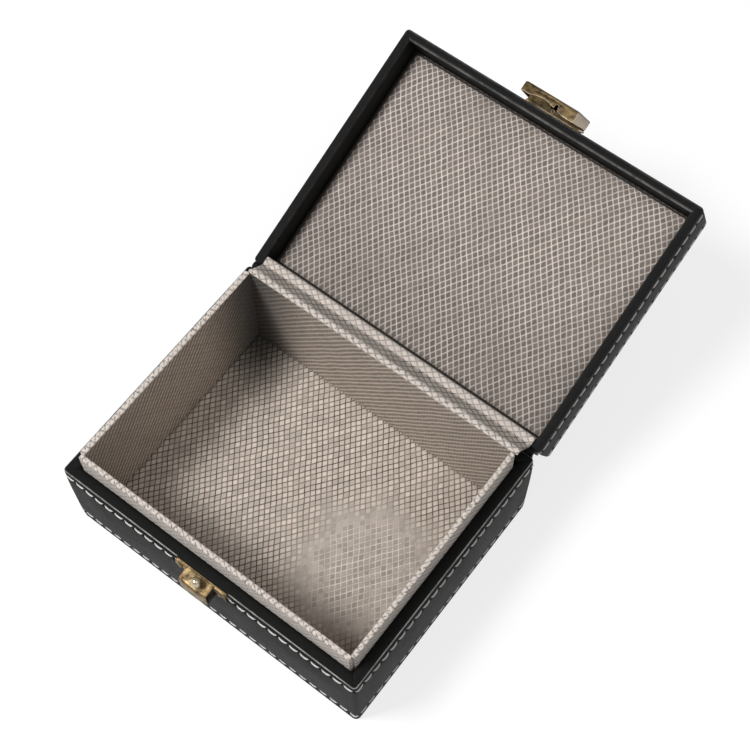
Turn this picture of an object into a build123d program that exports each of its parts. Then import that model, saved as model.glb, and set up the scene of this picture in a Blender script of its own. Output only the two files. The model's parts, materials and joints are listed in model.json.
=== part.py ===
from build123d import *

import os
from math import cos, hypot, radians, sin

# Signal-blocking key box: a leather-covered board base with a cloth-lined tray, and a
# padded lid on a sewn leather hinge, held shut by a brass press latch on a ball stud.
# Millimetres. X runs along the width, the front is at -Y, Z is up, and the origin is the
# centre of the underside. The lid is drawn closed and then turned open about its hinge.

# ---- overall sizes
box_width = 130.0
box_depth = 103.5
base_height = 43.0  # underside to the top of the base's rim
lid_height = 24.5  # lid's rim to its top
corner_radius = 2.0  # upright outside corners
rim_edge_radius = 0.6  # top outside edge of the base
lid_edge_radius = 1.6  # top outside edge of the lid

# ---- leather and boards
leather = 0.8
shell_board = 3.0  # walls of the base
bottom_board = 2.4
lid_wall_board = 2.0
lid_top_board = 2.0
base_fold_depth = 18.0  # how far the leather is turned down inside the base
lid_fold_depth = 11.6  # how far the leather is turned up inside the lid

# ---- tray that stands in the base and fills the lid when it is shut
tray_proud = 10.4  # height of the tray above the base's rim
tray_board = 1.4
cloth = 0.3  # metallised shielding cloth
tray_corner_notch = 1.0  # the front and back panels stop this short of the tray's corner
panel_gap = 0.1  # between a side panel and the panel that it butts against
floor_board = 0.7
floor_gap = 0.2  # round the loose floor card

# ---- padded panel in the lid
lid_recess = 10.9  # lid's rim to the face of the pad
pad_foam = 1.5
pad_board = 0.8
pad_gap = 0.3  # between the pad's edge and the lid's lining
spacer_width = 3.0
spacer_inset = 4.0  # spacers stand in from the pad's edge

# ---- hinge
lid_gap = 0.3  # between the two rims when shut
hinge_back = 1.2  # hinge line behind the back wall
lid_open_angle = 157.2
hinge_leather = 1.0
hinge_leaf_height = 9.0  # glued and sewn height on each back wall
hinge_end_inset = 1.5  # the strip stops this short of each corner
hinge_cloth = 0.4
hinge_cloth_gap = 0.12  # between the cloth and the lid's leather
hinge_cloth_rise = 0.5  # between the cloth and the rolled hinge leather
hinge_cloth_stop = 0.5  # the cloth ends this short of the pad's face

# ---- saddle stitching
stitch_pitch = 4.6
stitch_length = 3.5
stitch_width = 0.6
stitch_proud = 0.35
stitch_edge = 4.0  # row to the nearest edge of the wall
stitch_corner = 3.0  # straight rows stop this short of a corner

# ---- brass strike on the base
latch_x = -0.8  # centre of both halves of the latch
strike_width = 22.0
strike_height = 3.5
strike_thickness = 1.5
shelf_width = 12.0
shelf_reach = 5.75  # front face of the apron from the wall
shelf_thickness = 1.0
apron_height = 9.3
apron_thickness = 1.0
strike_nail_x = 8.6  # from the strike's centre

# ---- ball stud
stud_reach = 3.6  # stud's axis from the wall
ball_radius = 1.95
ball_rise = 3.0  # ball's centre above the shelf
neck_radius = 0.7
tail_radius = 1.0  # riveted end under the shelf
tail_length = 0.6

# ---- brass press latch on the lid
plate_width = 22.0
plate_height = 16.6
plate_thickness = 0.7
plate_rise = 0.9  # back plate's lower edge above the lid's rim
plate_lip = 1.3  # turned-out lower lip of the back plate
lip_thickness = 0.8
ear_thickness = 0.8
ear_reach = 4.1  # from the back plate's face
ear_inset = 0.9  # from the back plate's ends
ear_half_height = 2.4
pin_radius = 0.75
pin_fit = 0.05  # running clearance of the cover on its pin
pin_length = 22.8
cover_width = 27.6  # at its widest, just above the foot
cover_top_width = 18.2
cover_height = 17.5
cover_rise = 0.05
cover_foot_slope = 5.2  # length along X of the foot's sloping ends
cover_foot_rise = 1.4
cover_top_corner = 1.5
cover_back = 2.4  # open back of the cover from the wall
cover_front = 6.5
cover_sheet = 0.6
cover_bevel = 0.5
catch_radius = 2.1  # notch in the cover's lower lip, which hooks under the ball
catch_reach = 2.5  # notch's centre from the wall
press_angle = 8.0
spring_width = 8.0
spring_leaf = 0.35
spring_leg = 5.2  # the leg that stands on the back plate
spring_tip_gap = 0.05

# ---- nails
nail_head_radius = 1.1
nail_head_height = 0.5
nail_shank_radius = 0.45
nail_bite = 1.5  # length driven into the board
plate_nail_x = 7.5
plate_nail_low = 3.6  # nails above and below the middle of the back plate
plate_nail_high = 4.4

# ---- worked out from the sizes above
half_width = box_width / 2
half_depth = box_depth / 2
ledge = 2 * leather + shell_board
lid_rim = 2 * leather + lid_wall_board
panel = tray_board + 2 * cloth
board_floor = leather + bottom_board  # top of the bottom board
tray_top = base_height + tray_proud
tray_half_x = half_width - ledge
tray_half_y = half_depth - ledge
well_half_x = tray_half_x - panel
well_half_y = tray_half_y - panel
floor_top = board_floor + floor_board + cloth
lid_base = base_height + lid_gap  # the lid's rim when it is shut
lid_top = lid_base + lid_height
lid_ceiling = lid_top - leather - lid_top_board
pad_face = lid_base + lid_recess
pad_half_x = half_width - lid_rim - pad_gap
pad_half_y = half_depth - lid_rim - pad_gap
hinge_y = half_depth + hinge_back
hinge_z = base_height + lid_gap / 2
pin_z = lid_base + cover_rise + cover_height / 2
plate_base = lid_base + plate_rise
lid_open = Pos(0, hinge_y, hinge_z) * Rot(-lid_open_angle, 0, 0) * Pos(0, -hinge_y, -hinge_z)


# ---- shared shapes
def block(x0, x1, y0, y1, z0, z1):
    """A box between two corners."""
    centre = Pos((x0 + x1) / 2, (y0 + y1) / 2, (z0 + z1) / 2)
    return centre * Box(x1 - x0, y1 - y0, z1 - z0)


def slab(inset, z0, z1):
    """The box's rounded outline, drawn in by inset, from z0 up to z1."""
    radius = corner_radius - inset
    width, depth = box_width - 2 * inset, box_depth - 2 * inset
    outline = RectangleRounded(width, depth, radius) if radius > 0 else Rectangle(width, depth)
    return Pos(0, 0, z0) * extrude(outline, z1 - z0)


def rounded_top(solid, radius):
    """Rounds the edges of a solid's top face."""
    return fillet(solid.faces().sort_by(Axis.Z)[-1].edges(), radius)


def rod(start, direction, radius, length):
    """A round rod from a point along a direction."""
    return extrude(Plane(origin=start, z_dir=direction) * Circle(radius), length)


def profile(points, x0, x1):
    """A polygon of (y, z) points, extruded along X."""
    outline = make_face(Polyline(*[(x0, y, z) for y, z in points], close=True))
    return extrude(outline, x1 - x0, dir=(1, 0, 0))


def at_open(y, z):
    """Where a (y, z) point of the shut lid goes when the lid is open."""
    turn = radians(lid_open_angle)
    dy, dz = y - hinge_y, z - hinge_z
    return hinge_y + cos(turn) * dy + sin(turn) * dz, hinge_z - sin(turn) * dy + cos(turn) * dz


def four_walls(inset, thickness, z0, z1):
    """Front, back, left and right boards just inside the leather, butted at the corners."""
    outer_x, outer_y = half_width - inset, half_depth - inset
    outline = slab(inset, z0, z1)
    side_y = outer_y - thickness
    return {
        "front": outline & block(-outer_x, outer_x, -outer_y, -side_y, z0, z1),
        "back": outline & block(-outer_x, outer_x, side_y, outer_y, z0, z1),
        "left": block(-outer_x, thickness - outer_x, -side_y, side_y, z0, z1),
        "right": block(outer_x - thickness, outer_x, -side_y, side_y, z0, z1),
    }


# ---- stitching
def stitch_centres(length):
    """Evenly spaced centres of the stitches along a straight run."""
    count = int((length - 2 * stitch_corner) / stitch_pitch)
    return [(i - (count - 1) / 2) * stitch_pitch for i in range(count)]


def stitch_row(z, back_lift, covered=None):
    """One row of stitches round the four walls; covered is an X range left out at the front."""
    half_l, half_w = stitch_length / 2, stitch_width / 2
    low, high = covered or (0, 0)
    row = []
    for x in stitch_centres(box_width):
        back = half_depth + back_lift
        row.append(block(x - half_l, x + half_l, back, back + stitch_proud, z - half_w, z + half_w))
        if x + half_l < low or x - half_l > high or covered is None:
            front = -half_depth
            row.append(
                block(x - half_l, x + half_l, front - stitch_proud, front, z - half_w, z + half_w)
            )
    for y in stitch_centres(box_depth):
        for side in (-1, 1):
            face = side * half_width
            x0, x1 = sorted((face, face + side * stitch_proud))
            row.append(block(x0, x1, y - half_l, y + half_l, z - half_w, z + half_w))
    return Compound(children=row)


# ---- base
def base_wrap():
    """Leather round the base, turned over the rim and down inside it."""
    skin = rounded_top(slab(0, leather, base_height), rim_edge_radius)
    skin -= slab(leather, leather, base_height - leather)
    skin -= slab(ledge, base_height - leather, base_height)
    fold_foot = base_height - base_fold_depth
    fold = slab(leather + shell_board, fold_foot, base_height - leather)
    fold -= slab(ledge, fold_foot, base_height - leather)
    return skin + fold - strike_nail_shanks()


def tray_panel(x0, x1, y0, y1):
    """One tray wall: a board, and the cloth wrapped over its faces, ends and top."""
    board = block(x0 + cloth, x1 - cloth, y0 + cloth, y1 - cloth, board_floor, tray_top - cloth)
    return board, block(x0, x1, y0, y1, board_floor, tray_top) - board


def tray_panels():
    """The four walls of the tray by side: each a board and its cloth."""
    long_x = tray_half_x - tray_corner_notch
    side_y = well_half_y - panel_gap
    return {
        "front": tray_panel(-long_x, long_x, -tray_half_y, -well_half_y),
        "back": tray_panel(-long_x, long_x, well_half_y, tray_half_y),
        "left": tray_panel(-tray_half_x, -well_half_x, -side_y, side_y),
        "right": tray_panel(well_half_x, tray_half_x, -side_y, side_y),
    }


def floor_sheet(z0, z1):
    """A sheet that lies in the tray's well."""
    x, y = well_half_x - floor_gap, well_half_y - floor_gap
    return block(-x, x, -y, y, z0, z1)


# ---- strike and stud
def strike_bracket():
    """Brass strip on the rim, bent out into a shelf with an apron in front."""
    wall, top = -half_depth, base_height
    half_strip, half_shelf = strike_width / 2, shelf_width / 2
    front = wall - shelf_reach
    back, lip = wall - strike_thickness, front + apron_thickness
    x0, x1 = latch_x - half_shelf, latch_x + half_shelf
    strip = block(latch_x - half_strip, latch_x + half_strip, back, wall, top - strike_height, top)
    shelf = block(x0, x1, front, wall, top - shelf_thickness, top)
    apron = block(x0, x1, front, lip, top - apron_height, top)
    foot = (latch_x, wall - stud_reach, top - shelf_thickness)
    neck_hole = rod(foot, (0, 0, 1), neck_radius, shelf_thickness)
    return strip + shelf + apron - neck_hole - strike_nail_shanks()


def ball_stud():
    """Ball on a neck, riveted through the shelf."""
    x, y = latch_x, -half_depth - stud_reach
    shelf_foot = base_height - shelf_thickness
    neck = rod((x, y, shelf_foot), (0, 0, 1), neck_radius, shelf_thickness + ball_rise)
    tail = rod((x, y, shelf_foot - tail_length), (0, 0, 1), tail_radius, tail_length)
    return neck + tail + Pos(x, y, base_height + ball_rise) * Sphere(ball_radius)


def strike_nail_places():
    """Centres of the nails through the strike, on its front face."""
    z = base_height - strike_height / 2
    face = -half_depth - strike_thickness
    return [(latch_x + side * strike_nail_x, face, z) for side in (-1, 1)]


def strike_nail_shanks():
    """Shanks through the strike and leather into the front board."""
    length = strike_thickness + leather + nail_bite
    shanks = [rod(place, (0, 1, 0), nail_shank_radius, length) for place in strike_nail_places()]
    return Compound(children=shanks)


def nail(place, length):
    """A round-headed nail driven towards +Y, its head standing on the face at place."""
    head = rod(place, (0, -1, 0), nail_head_radius, nail_head_height)
    return head + rod(place, (0, 1, 0), nail_shank_radius, length)


def strike_nails():
    """Both nails of the strike."""
    length = strike_thickness + leather + nail_bite
    return Compound(children=[nail(place, length) for place in strike_nail_places()])


# ---- hinge
def hinge_leather_strip():
    """Leather strip on both back walls, rolled over the hinge line, with the lid open."""
    wall, outer = half_depth, half_depth + hinge_leather
    x = half_width - hinge_end_inset
    foot = base_height - hinge_leaf_height
    lid_wall, lid_outer = at_open(wall, lid_base), at_open(outer, lid_base)
    lid_foot = at_open(wall, lid_base + hinge_leaf_height)
    lid_foot_outer = at_open(outer, lid_base + hinge_leaf_height)

    def crown(a, b):
        """Highest point of the half circle that stands on the chord from a to b."""
        dy, dz = b[0] - a[0], b[1] - a[1]
        return (a[0] + b[0] - dz) / 2, (a[1] + b[1] + dy) / 2

    def point(p):
        return (-x, p[0], p[1])

    top_in, top_out = (wall, base_height), (outer, base_height)
    edges = [
        Line(point((wall, foot)), point(top_in)),
        ThreePointArc(point(top_in), point(crown(top_in, lid_wall)), point(lid_wall)),
        Polyline(point(lid_wall), point(lid_foot), point(lid_foot_outer), point(lid_outer)),
        ThreePointArc(point(lid_outer), point(crown(top_out, lid_outer)), point(top_out)),
        Polyline(point(top_out), point((outer, foot)), point((wall, foot))),
    ]
    return extrude(make_face(edges), 2 * x, dir=(1, 0, 0))


def one_sided(path, thickness):
    """Outline of a strip of even thickness on the left of a path of (y, z) points."""
    outer = []
    for i, (y, z) in enumerate(path):
        sides = []
        for a, b in ((i - 1, i), (i, i + 1)):
            if a >= 0 and b < len(path):
                dy, dz = path[b][0] - path[a][0], path[b][1] - path[a][1]
                sides.append((-dz / hypot(dy, dz), dy / hypot(dy, dz)))
        ny = sum(s[0] for s in sides) / len(sides)
        nz = sum(s[1] for s in sides) / len(sides)
        reach = thickness / (ny * ny + nz * nz)
        outer.append((y + ny * reach, z + nz * reach))
    return path + outer[::-1]


def hinge_cloth_strip():
    """Shielding cloth from the tray's back wall over the lid's rim and down inside it."""
    x = half_width - lid_rim - pad_gap
    rim_in = half_depth - lid_rim - hinge_cloth_gap
    path = [
        (well_half_y, tray_top),
        (tray_half_y, tray_top),
        at_open(half_depth, lid_base - hinge_cloth_rise),
        at_open(rim_in, lid_base - hinge_cloth_gap),
        at_open(rim_in, pad_face - hinge_cloth_stop),
    ]
    return profile(one_sided(path, hinge_cloth), -x, x)


# ---- lid, drawn shut
def lid_wrap():
    """Leather over the lid, turned round its rim and up inside it."""
    skin = rounded_top(slab(0, lid_base, lid_top), lid_edge_radius)
    skin -= slab(leather, lid_base + leather, lid_top - leather)
    skin -= slab(lid_rim, lid_base, lid_base + leather)
    fold_top = lid_base + lid_fold_depth
    fold = slab(leather + lid_wall_board, lid_base + leather, fold_top)
    fold -= slab(lid_rim, lid_base + leather, fold_top)
    return skin + fold - plate_nail_shanks()


def pad_sheet(inset, z0, z1):
    """A sheet of the lid's padded panel, drawn in by inset from its edge."""
    x, y = pad_half_x - inset, pad_half_y - inset
    return block(-x, x, -y, y, z0, z1)


def pad_cloth():
    """Cloth over the pad's face and edges."""
    back = pad_face + cloth + pad_foam + pad_board
    return pad_sheet(0, pad_face, back) - pad_sheet(cloth, pad_face + cloth, back)


def pad_spacers():
    """Four strips that carry the pad off the lid's top board."""
    foot = pad_face + cloth + pad_foam + pad_board
    outer_x, outer_y = pad_half_x - spacer_inset, pad_half_y - spacer_inset
    inner_x, inner_y = outer_x - spacer_width, outer_y - spacer_width
    strips = [
        block(-outer_x, outer_x, inner_y, outer_y, foot, lid_ceiling),
        block(-outer_x, outer_x, -outer_y, -inner_y, foot, lid_ceiling),
        block(inner_x, outer_x, -inner_y, inner_y, foot, lid_ceiling),
        block(-outer_x, -inner_x, -inner_y, inner_y, foot, lid_ceiling),
    ]
    return Compound(children=strips)


# ---- latch, drawn on the shut lid
def plate_nail_places():
    """Centres of the nails through the back plate, on its front face."""
    middle = plate_base + plate_height / 2
    face = -half_depth - plate_thickness
    heights = (middle - plate_nail_low, middle + plate_nail_high)
    return [(latch_x + side * plate_nail_x, face, z) for side in (-1, 1) for z in heights]


def plate_nail_shanks():
    """Shanks through the back plate and leather into the lid's front board."""
    length = plate_thickness + leather + nail_bite
    shanks = [rod(place, (0, 1, 0), nail_shank_radius, length) for place in plate_nail_places()]
    return Compound(children=shanks)


def plate_nails():
    """The four nails of the back plate."""
    length = plate_thickness + leather + nail_bite
    return Compound(children=[nail(place, length) for place in plate_nail_places()])


def latch_plate():
    """Back plate with a lower lip, notched for the ball, and two ears for the pin."""
    wall, half_plate = -half_depth, plate_width / 2
    face = wall - plate_thickness
    x0, x1 = latch_x - half_plate, latch_x + half_plate
    plate = block(x0, x1, face, wall, plate_base, plate_base + plate_height)
    plate += block(x0, x1, face - plate_lip, wall, plate_base, plate_base + lip_thickness)
    for ear_x in (x0 + ear_inset, x1 - ear_inset - ear_thickness):
        plate += block(
            ear_x,
            ear_x + ear_thickness,
            face - ear_reach,
            face,
            pin_z - ear_half_height,
            pin_z + ear_half_height,
        )
    foot = (latch_x, wall - stud_reach, plate_base)
    seat = rod(foot, (0, 0, 1), ball_radius + lid_gap, lip_thickness)
    return plate - seat - latch_pin() - plate_nail_shanks()


def latch_pin():
    """Pin that the cover rocks on."""
    start = (latch_x - pin_length / 2, -half_depth - stud_reach, pin_z)
    return rod(start, (1, 0, 0), pin_radius, pin_length)


def cover_outline(inset):
    """Cover seen from the front, narrower at the top, in the X-Z plane, drawn in by inset."""
    widest, top, middle = cover_width / 2, cover_top_width / 2, cover_height / 2
    lean = (widest - top) / (cover_height - cover_foot_rise)
    right = [
        (widest - cover_foot_slope, -middle),
        (widest, cover_foot_rise - middle),
        (top + lean * cover_top_corner, middle - cover_top_corner),
        (top - cover_top_corner, middle),
    ]
    left = [(-x, z) for x, z in reversed(right)]
    outline = make_face(Polyline(*right, *left, close=True))
    return offset(outline, -inset, kind=Kind.INTERSECTION) if inset else outline


def press_cover():
    """Stamped cover, open at the back, whose notched lower lip hooks under the ball."""
    wall = -half_depth
    back = Plane(origin=(latch_x, wall - cover_back, pin_z), x_dir=(1, 0, 0), z_dir=(0, -1, 0))
    body = extrude(back * cover_outline(0), cover_front - cover_back)
    body = chamfer(body.faces().sort_by(Axis.Y)[0].edges(), cover_bevel)
    body -= extrude(back * cover_outline(cover_sheet), cover_front - cover_back - cover_sheet)
    lip_foot = lid_base + cover_rise
    body -= rod((latch_x, wall - catch_reach, lip_foot), (0, 0, 1), catch_radius, cover_sheet)
    start = (latch_x - cover_width / 2, wall - stud_reach, pin_z)
    return body - rod(start, (1, 0, 0), pin_radius + pin_fit, cover_width)


def latch_spring():
    """Bent leaf that stands on the back plate and pushes the cover's upper half out."""
    face = -half_depth - plate_thickness
    inner = -half_depth - cover_front + cover_sheet + spring_tip_gap
    foot = pin_z + pin_radius + 1.5 * spring_leaf
    top = foot + spring_leg
    points = [
        (face, top),
        (face, foot),
        (face - spring_leaf, foot),
        (inner, top - 2 * spring_leaf),
        (inner, top),
        (face - spring_leaf, foot + 2 * spring_leaf),
        (face - spring_leaf, top),
    ]
    half_spring = spring_width / 2
    return profile(points, latch_x - half_spring, latch_x + half_spring)


# ---- build every piece
pieces = {}

shell = four_walls(leather, shell_board, leather, base_height - leather)
shell["front"] -= strike_nail_shanks()
for side, board in shell.items():
    pieces[f"base_{side}_board"] = board
pieces["base_bottom_board"] = slab(leather + shell_board, leather, board_floor)
pieces["base_underside"] = slab(0, 0, leather)
pieces["base_leather"] = base_wrap()
for side, (board, cover) in tray_panels().items():
    pieces[f"tray_{side}_board"] = board
    pieces[f"tray_{side}_cloth"] = cover
pieces["floor_board"] = floor_sheet(board_floor, board_floor + floor_board)
pieces["floor_cloth"] = floor_sheet(board_floor + floor_board, floor_top)
pieces["base_upper_stitching"] = stitch_row(base_height - stitch_edge, hinge_leather)
pieces["base_lower_stitching"] = stitch_row(leather + stitch_edge, 0)
pieces["strike_bracket"] = strike_bracket()
pieces["ball_stud"] = ball_stud()
pieces["strike_nails"] = strike_nails()
pieces["hinge_leather"] = hinge_leather_strip()
pieces["hinge_cloth"] = hinge_cloth_strip()

lid_pieces = {}
lid_walls = four_walls(leather, lid_wall_board, lid_base + leather, lid_ceiling)
lid_walls["front"] -= plate_nail_shanks()
for side, board in lid_walls.items():
    lid_pieces[f"lid_{side}_board"] = board
plate_span = (latch_x - plate_width / 2, latch_x + plate_width / 2)
foam_foot = pad_face + cloth
board_foot = foam_foot + pad_foam
lid_pieces["lid_top_board"] = slab(leather, lid_ceiling, lid_top - leather)
lid_pieces["lid_leather"] = lid_wrap()
lid_pieces["lid_pad_cloth"] = pad_cloth()
lid_pieces["lid_pad_foam"] = pad_sheet(cloth, foam_foot, board_foot)
lid_pieces["lid_pad_board"] = pad_sheet(cloth, board_foot, board_foot + pad_board)
lid_pieces["lid_pad_spacers"] = pad_spacers()
lid_pieces["lid_rim_stitching"] = stitch_row(lid_base + stitch_edge, hinge_leather, plate_span)
lid_pieces["lid_top_stitching"] = stitch_row(lid_top - stitch_edge, 0)
lid_pieces["latch_plate"] = latch_plate()
lid_pieces["latch_nails"] = plate_nails()
lid_pieces["latch_pin"] = latch_pin()
lid_pieces["latch_spring"] = latch_spring()
lid_pieces["latch_cover"] = press_cover()
for name, piece in lid_pieces.items():
    pieces[name] = lid_open * piece

os.makedirs("parts", exist_ok=True)
for name, piece in pieces.items():
    export_step(piece, f"parts/{name}.step")

print("hinge line y, z:", hinge_y, hinge_z)
print("cover pin y, z with the lid open:", at_open(-half_depth - stud_reach, pin_z))
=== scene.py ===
"""Dresses the signal-blocking key box: leather shells, grid-woven cloth and a brass latch."""

import json
import logging
import math
from dataclasses import dataclass, field
from enum import Enum
from typing import Callable, Optional, Sequence, Union

import bmesh
import bpy
import numpy as np
from mathutils import Matrix, Vector, noise


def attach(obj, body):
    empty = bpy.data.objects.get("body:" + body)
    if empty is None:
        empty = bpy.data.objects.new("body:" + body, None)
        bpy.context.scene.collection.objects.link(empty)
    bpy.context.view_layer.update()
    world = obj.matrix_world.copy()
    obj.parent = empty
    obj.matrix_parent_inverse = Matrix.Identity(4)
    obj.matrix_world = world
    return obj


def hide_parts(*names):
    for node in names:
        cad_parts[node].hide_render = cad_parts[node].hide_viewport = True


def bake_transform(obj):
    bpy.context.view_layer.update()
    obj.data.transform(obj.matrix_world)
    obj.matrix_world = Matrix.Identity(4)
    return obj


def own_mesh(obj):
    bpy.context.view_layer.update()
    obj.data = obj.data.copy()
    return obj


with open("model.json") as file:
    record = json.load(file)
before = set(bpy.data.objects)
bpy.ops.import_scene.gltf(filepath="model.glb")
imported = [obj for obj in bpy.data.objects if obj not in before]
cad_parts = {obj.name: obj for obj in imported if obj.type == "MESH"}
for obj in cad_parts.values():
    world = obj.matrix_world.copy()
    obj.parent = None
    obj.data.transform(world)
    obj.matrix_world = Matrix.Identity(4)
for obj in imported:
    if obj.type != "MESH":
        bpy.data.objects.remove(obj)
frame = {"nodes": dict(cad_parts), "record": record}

log = logging.getLogger("key_box")

MM = 0.001
TINY = 1e-9
BOX_ROUND_SHARE = 0.499  # the most of a box's side that one rounded edge may take up
Pair = tuple[float, float]
Place = tuple[float, float, float]
Colour = tuple[float, float, float]
Face = tuple[int, ...]
Numbers = Union[float, np.ndarray]


# -------- shader nodes
class Value:
    """One number, colour or vector that comes out of a shader node's socket."""

    def __init__(self, shader: "Shader", socket: bpy.types.NodeSocket) -> None:
        """Wraps a socket.

        Args:
            shader: The material that the socket belongs to.
            socket: An output socket.
        """
        self.shader = shader
        self.socket = socket

    def __add__(self, other: "Operand") -> "Value":
        """Sum of two values."""
        return self.shader.maths("ADD", self, other)

    def __radd__(self, other: "Operand") -> "Value":
        """Sum, with the plain number first."""
        return self.shader.maths("ADD", other, self)

    def __sub__(self, other: "Operand") -> "Value":
        """Difference of two values."""
        return self.shader.maths("SUBTRACT", self, other)

    def __rsub__(self, other: "Operand") -> "Value":
        """Difference, with the plain number first."""
        return self.shader.maths("SUBTRACT", other, self)

    def __mul__(self, other: "Operand") -> "Value":
        """Product of two values."""
        return self.shader.maths("MULTIPLY", self, other)

    def __rmul__(self, other: "Operand") -> "Value":
        """Product, with the plain number first."""
        return self.shader.maths("MULTIPLY", other, self)

    def __abs__(self) -> "Value":
        """Size of the value without its sign."""
        return self.shader.maths("ABSOLUTE", self)


Operand = Union[Value, float]
Tint = Union[Value, Colour]


class Shader:
    """The node tree of one material or world, built from expressions on values."""

    def __init__(self, owner: Union[bpy.types.Material, bpy.types.World]) -> None:
        """Starts with an empty tree.

        Args:
            owner: The material or world that the tree belongs to.
        """
        self.owner = owner
        owner.use_nodes = True
        self.tree = owner.node_tree
        self.tree.nodes.clear()

    @classmethod
    def named(cls, name: str) -> "Shader":
        """Starts a new material of this name."""
        return cls(bpy.data.materials.new(name))

    def node(
        self,
        kind: str,
        settings: Optional[dict[str, object]] = None,
        inputs: Optional[dict[Union[str, int], object]] = None,
    ) -> bpy.types.Node:
        """Adds a node.

        Args:
            kind: The node's type, without the words that every type starts with.
            settings: Its options, set before its sockets; "stops" sets a ramp's colours.
            inputs: Values or links of its sockets, by name or number.

        Returns:
            The new node.
        """
        made = self.tree.nodes.new("ShaderNode" + kind)
        for name, value in (settings or {}).items():
            if name == "stops":
                self._set_stops(made, value)
            else:
                setattr(made, name, value)
        for name, value in (inputs or {}).items():
            if isinstance(value, Value):
                self.tree.links.new(value.socket, made.inputs[name])
            else:
                made.inputs[name].default_value = value
        return made

    @staticmethod
    def _set_stops(ramp: bpy.types.Node, stops: Sequence[tuple[float, Colour]]) -> None:
        """Sets a colour ramp's stops.

        Args:
            ramp: The ramp node.
            stops: Place and colour of each stop, in order.
        """
        elements = ramp.color_ramp.elements
        while len(elements) < len(stops):
            elements.new(1.0)
        for element, (place, colour) in zip(elements, stops):
            element.position = place
            element.color = (*colour, 1.0)

    def out(self, kind: str, output: Union[str, int], **parts: dict) -> Value:
        """Adds a node and wraps one of its outputs.

        Args:
            kind: The node's type.
            output: Name or number of the output socket.
            **parts: settings and inputs, as node() takes them.

        Returns:
            The wrapped output.
        """
        return Value(self, self.node(kind, **parts).outputs[output])

    def maths(self, operation: str, *values: Operand, clamp: bool = False) -> Value:
        """Adds a Math node.

        Args:
            operation: The node's operation.
            *values: Its operands.
            clamp: Whether the result is kept between 0 and 1.

        Returns:
            The result.
        """
        settings = {"operation": operation, "use_clamp": clamp}
        return self.out("Math", 0, settings=settings, inputs=dict(enumerate(values)))

    def smooth(self, value: Value, low: float, high: float) -> Value:
        """Rises smoothly from 0 at low to 1 at high, or falls if low is the greater.

        Args:
            value: The value that is tested.
            low: Where the result is 0.
            high: Where the result is 1.

        Returns:
            A value from 0 to 1.
        """
        first, last = min(low, high), max(low, high)
        ends = {3: 0.0, 4: 1.0} if low < high else {3: 1.0, 4: 0.0}
        return self.out(
            "MapRange",
            0,
            settings={"interpolation_type": "SMOOTHSTEP"},
            inputs={0: value, 1: first, 2: last, **ends},
        )

    def mix(self, factor: Operand, a: Tint, b: Tint) -> Value:
        """Mixes two colours.

        Args:
            factor: 0 for a, 1 for b.
            a: First colour.
            b: Second colour.

        Returns:
            The mixed colour.
        """
        a, b = (c if isinstance(c, Value) else (*c, 1.0) for c in (a, b))
        return self.out("Mix", 2, settings={"data_type": "RGBA"}, inputs={0: factor, 6: a, 7: b})

    def shade(self, colour: Tint, amount: Value) -> Value:
        """Multiplies a colour by a number.

        Args:
            colour: The colour.
            amount: The number.

        Returns:
            The darker or lighter colour.
        """
        settings = {"operation": "SCALE"}
        return self.out("VectorMath", 0, settings=settings, inputs={0: colour, "Scale": amount})

    def noise(
        self, place: Value, scale: float, detail: float = 3.0, roughness: float = 0.5
    ) -> Value:
        """Adds cloudy noise, from 0 to 1.

        Args:
            place: Where it is read.
            scale: Cells per unit of place.
            detail: Number of finer layers.
            roughness: Strength of the finer layers.

        Returns:
            The noise.
        """
        inputs = {"Vector": place, "Scale": scale, "Detail": detail, "Roughness": roughness}
        return self.out("TexNoise", 0, inputs=inputs)

    def stretched(self, place: Value, factors: Place) -> Value:
        """Scales a place differently along each axis.

        Args:
            place: The place.
            factors: Scale along X, Y and Z.

        Returns:
            The scaled place.
        """
        settings = {"operation": "MULTIPLY"}
        return self.out("VectorMath", 0, settings=settings, inputs={0: place, 1: factors})

    def here(self) -> Value:
        """Place on the object at rest, in metres."""
        return self.out("TexCoord", "Object")

    def axes(self, place: Value) -> list[Value]:
        """X, Y and Z of a place, each as a value of its own."""
        outputs = self.node("SeparateXYZ", inputs={0: place}).outputs
        return [Value(self, output) for output in outputs]

    def finish(
        self, surface: dict[str, object], height: Optional[Value] = None
    ) -> bpy.types.Material:
        """Adds the surface shader and ends the material.

        Args:
            surface: Values or links of the surface shader's sockets.
            height: Height of the relief, in millimetres.

        Returns:
            The material.
        """
        if height is not None:
            inputs = {"Height": height, "Distance": MM, "Strength": 1.0}
            surface = {**surface, "Normal": self.out("Bump", 0, inputs=inputs)}
        body = self.out("BsdfPrincipled", 0, inputs=surface)
        self.node("OutputMaterial", inputs={0: body})
        return self.owner

    def backdrop_seen(self) -> Value:
        """1 for a ray that shows the backdrop, straight, mirrored or through glass, else 0."""
        path = self.node("LightPath").outputs
        camera, glossy, clear = (
            Value(self, path[f"Is {kind} Ray"]) for kind in ("Camera", "Glossy", "Transmission")
        )
        return self.maths("MAXIMUM", self.maths("MAXIMUM", camera, glossy), clear)

    def detail(self) -> tuple[Value, Value, Value, Value]:
        """The attribute "detail": whole, then its flat X, flat Y and mark, from 0 to 1."""
        whole = self.out("Attribute", "Vector", settings={"attribute_name": "detail"})
        return (whole, *self.axes(whole))


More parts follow.
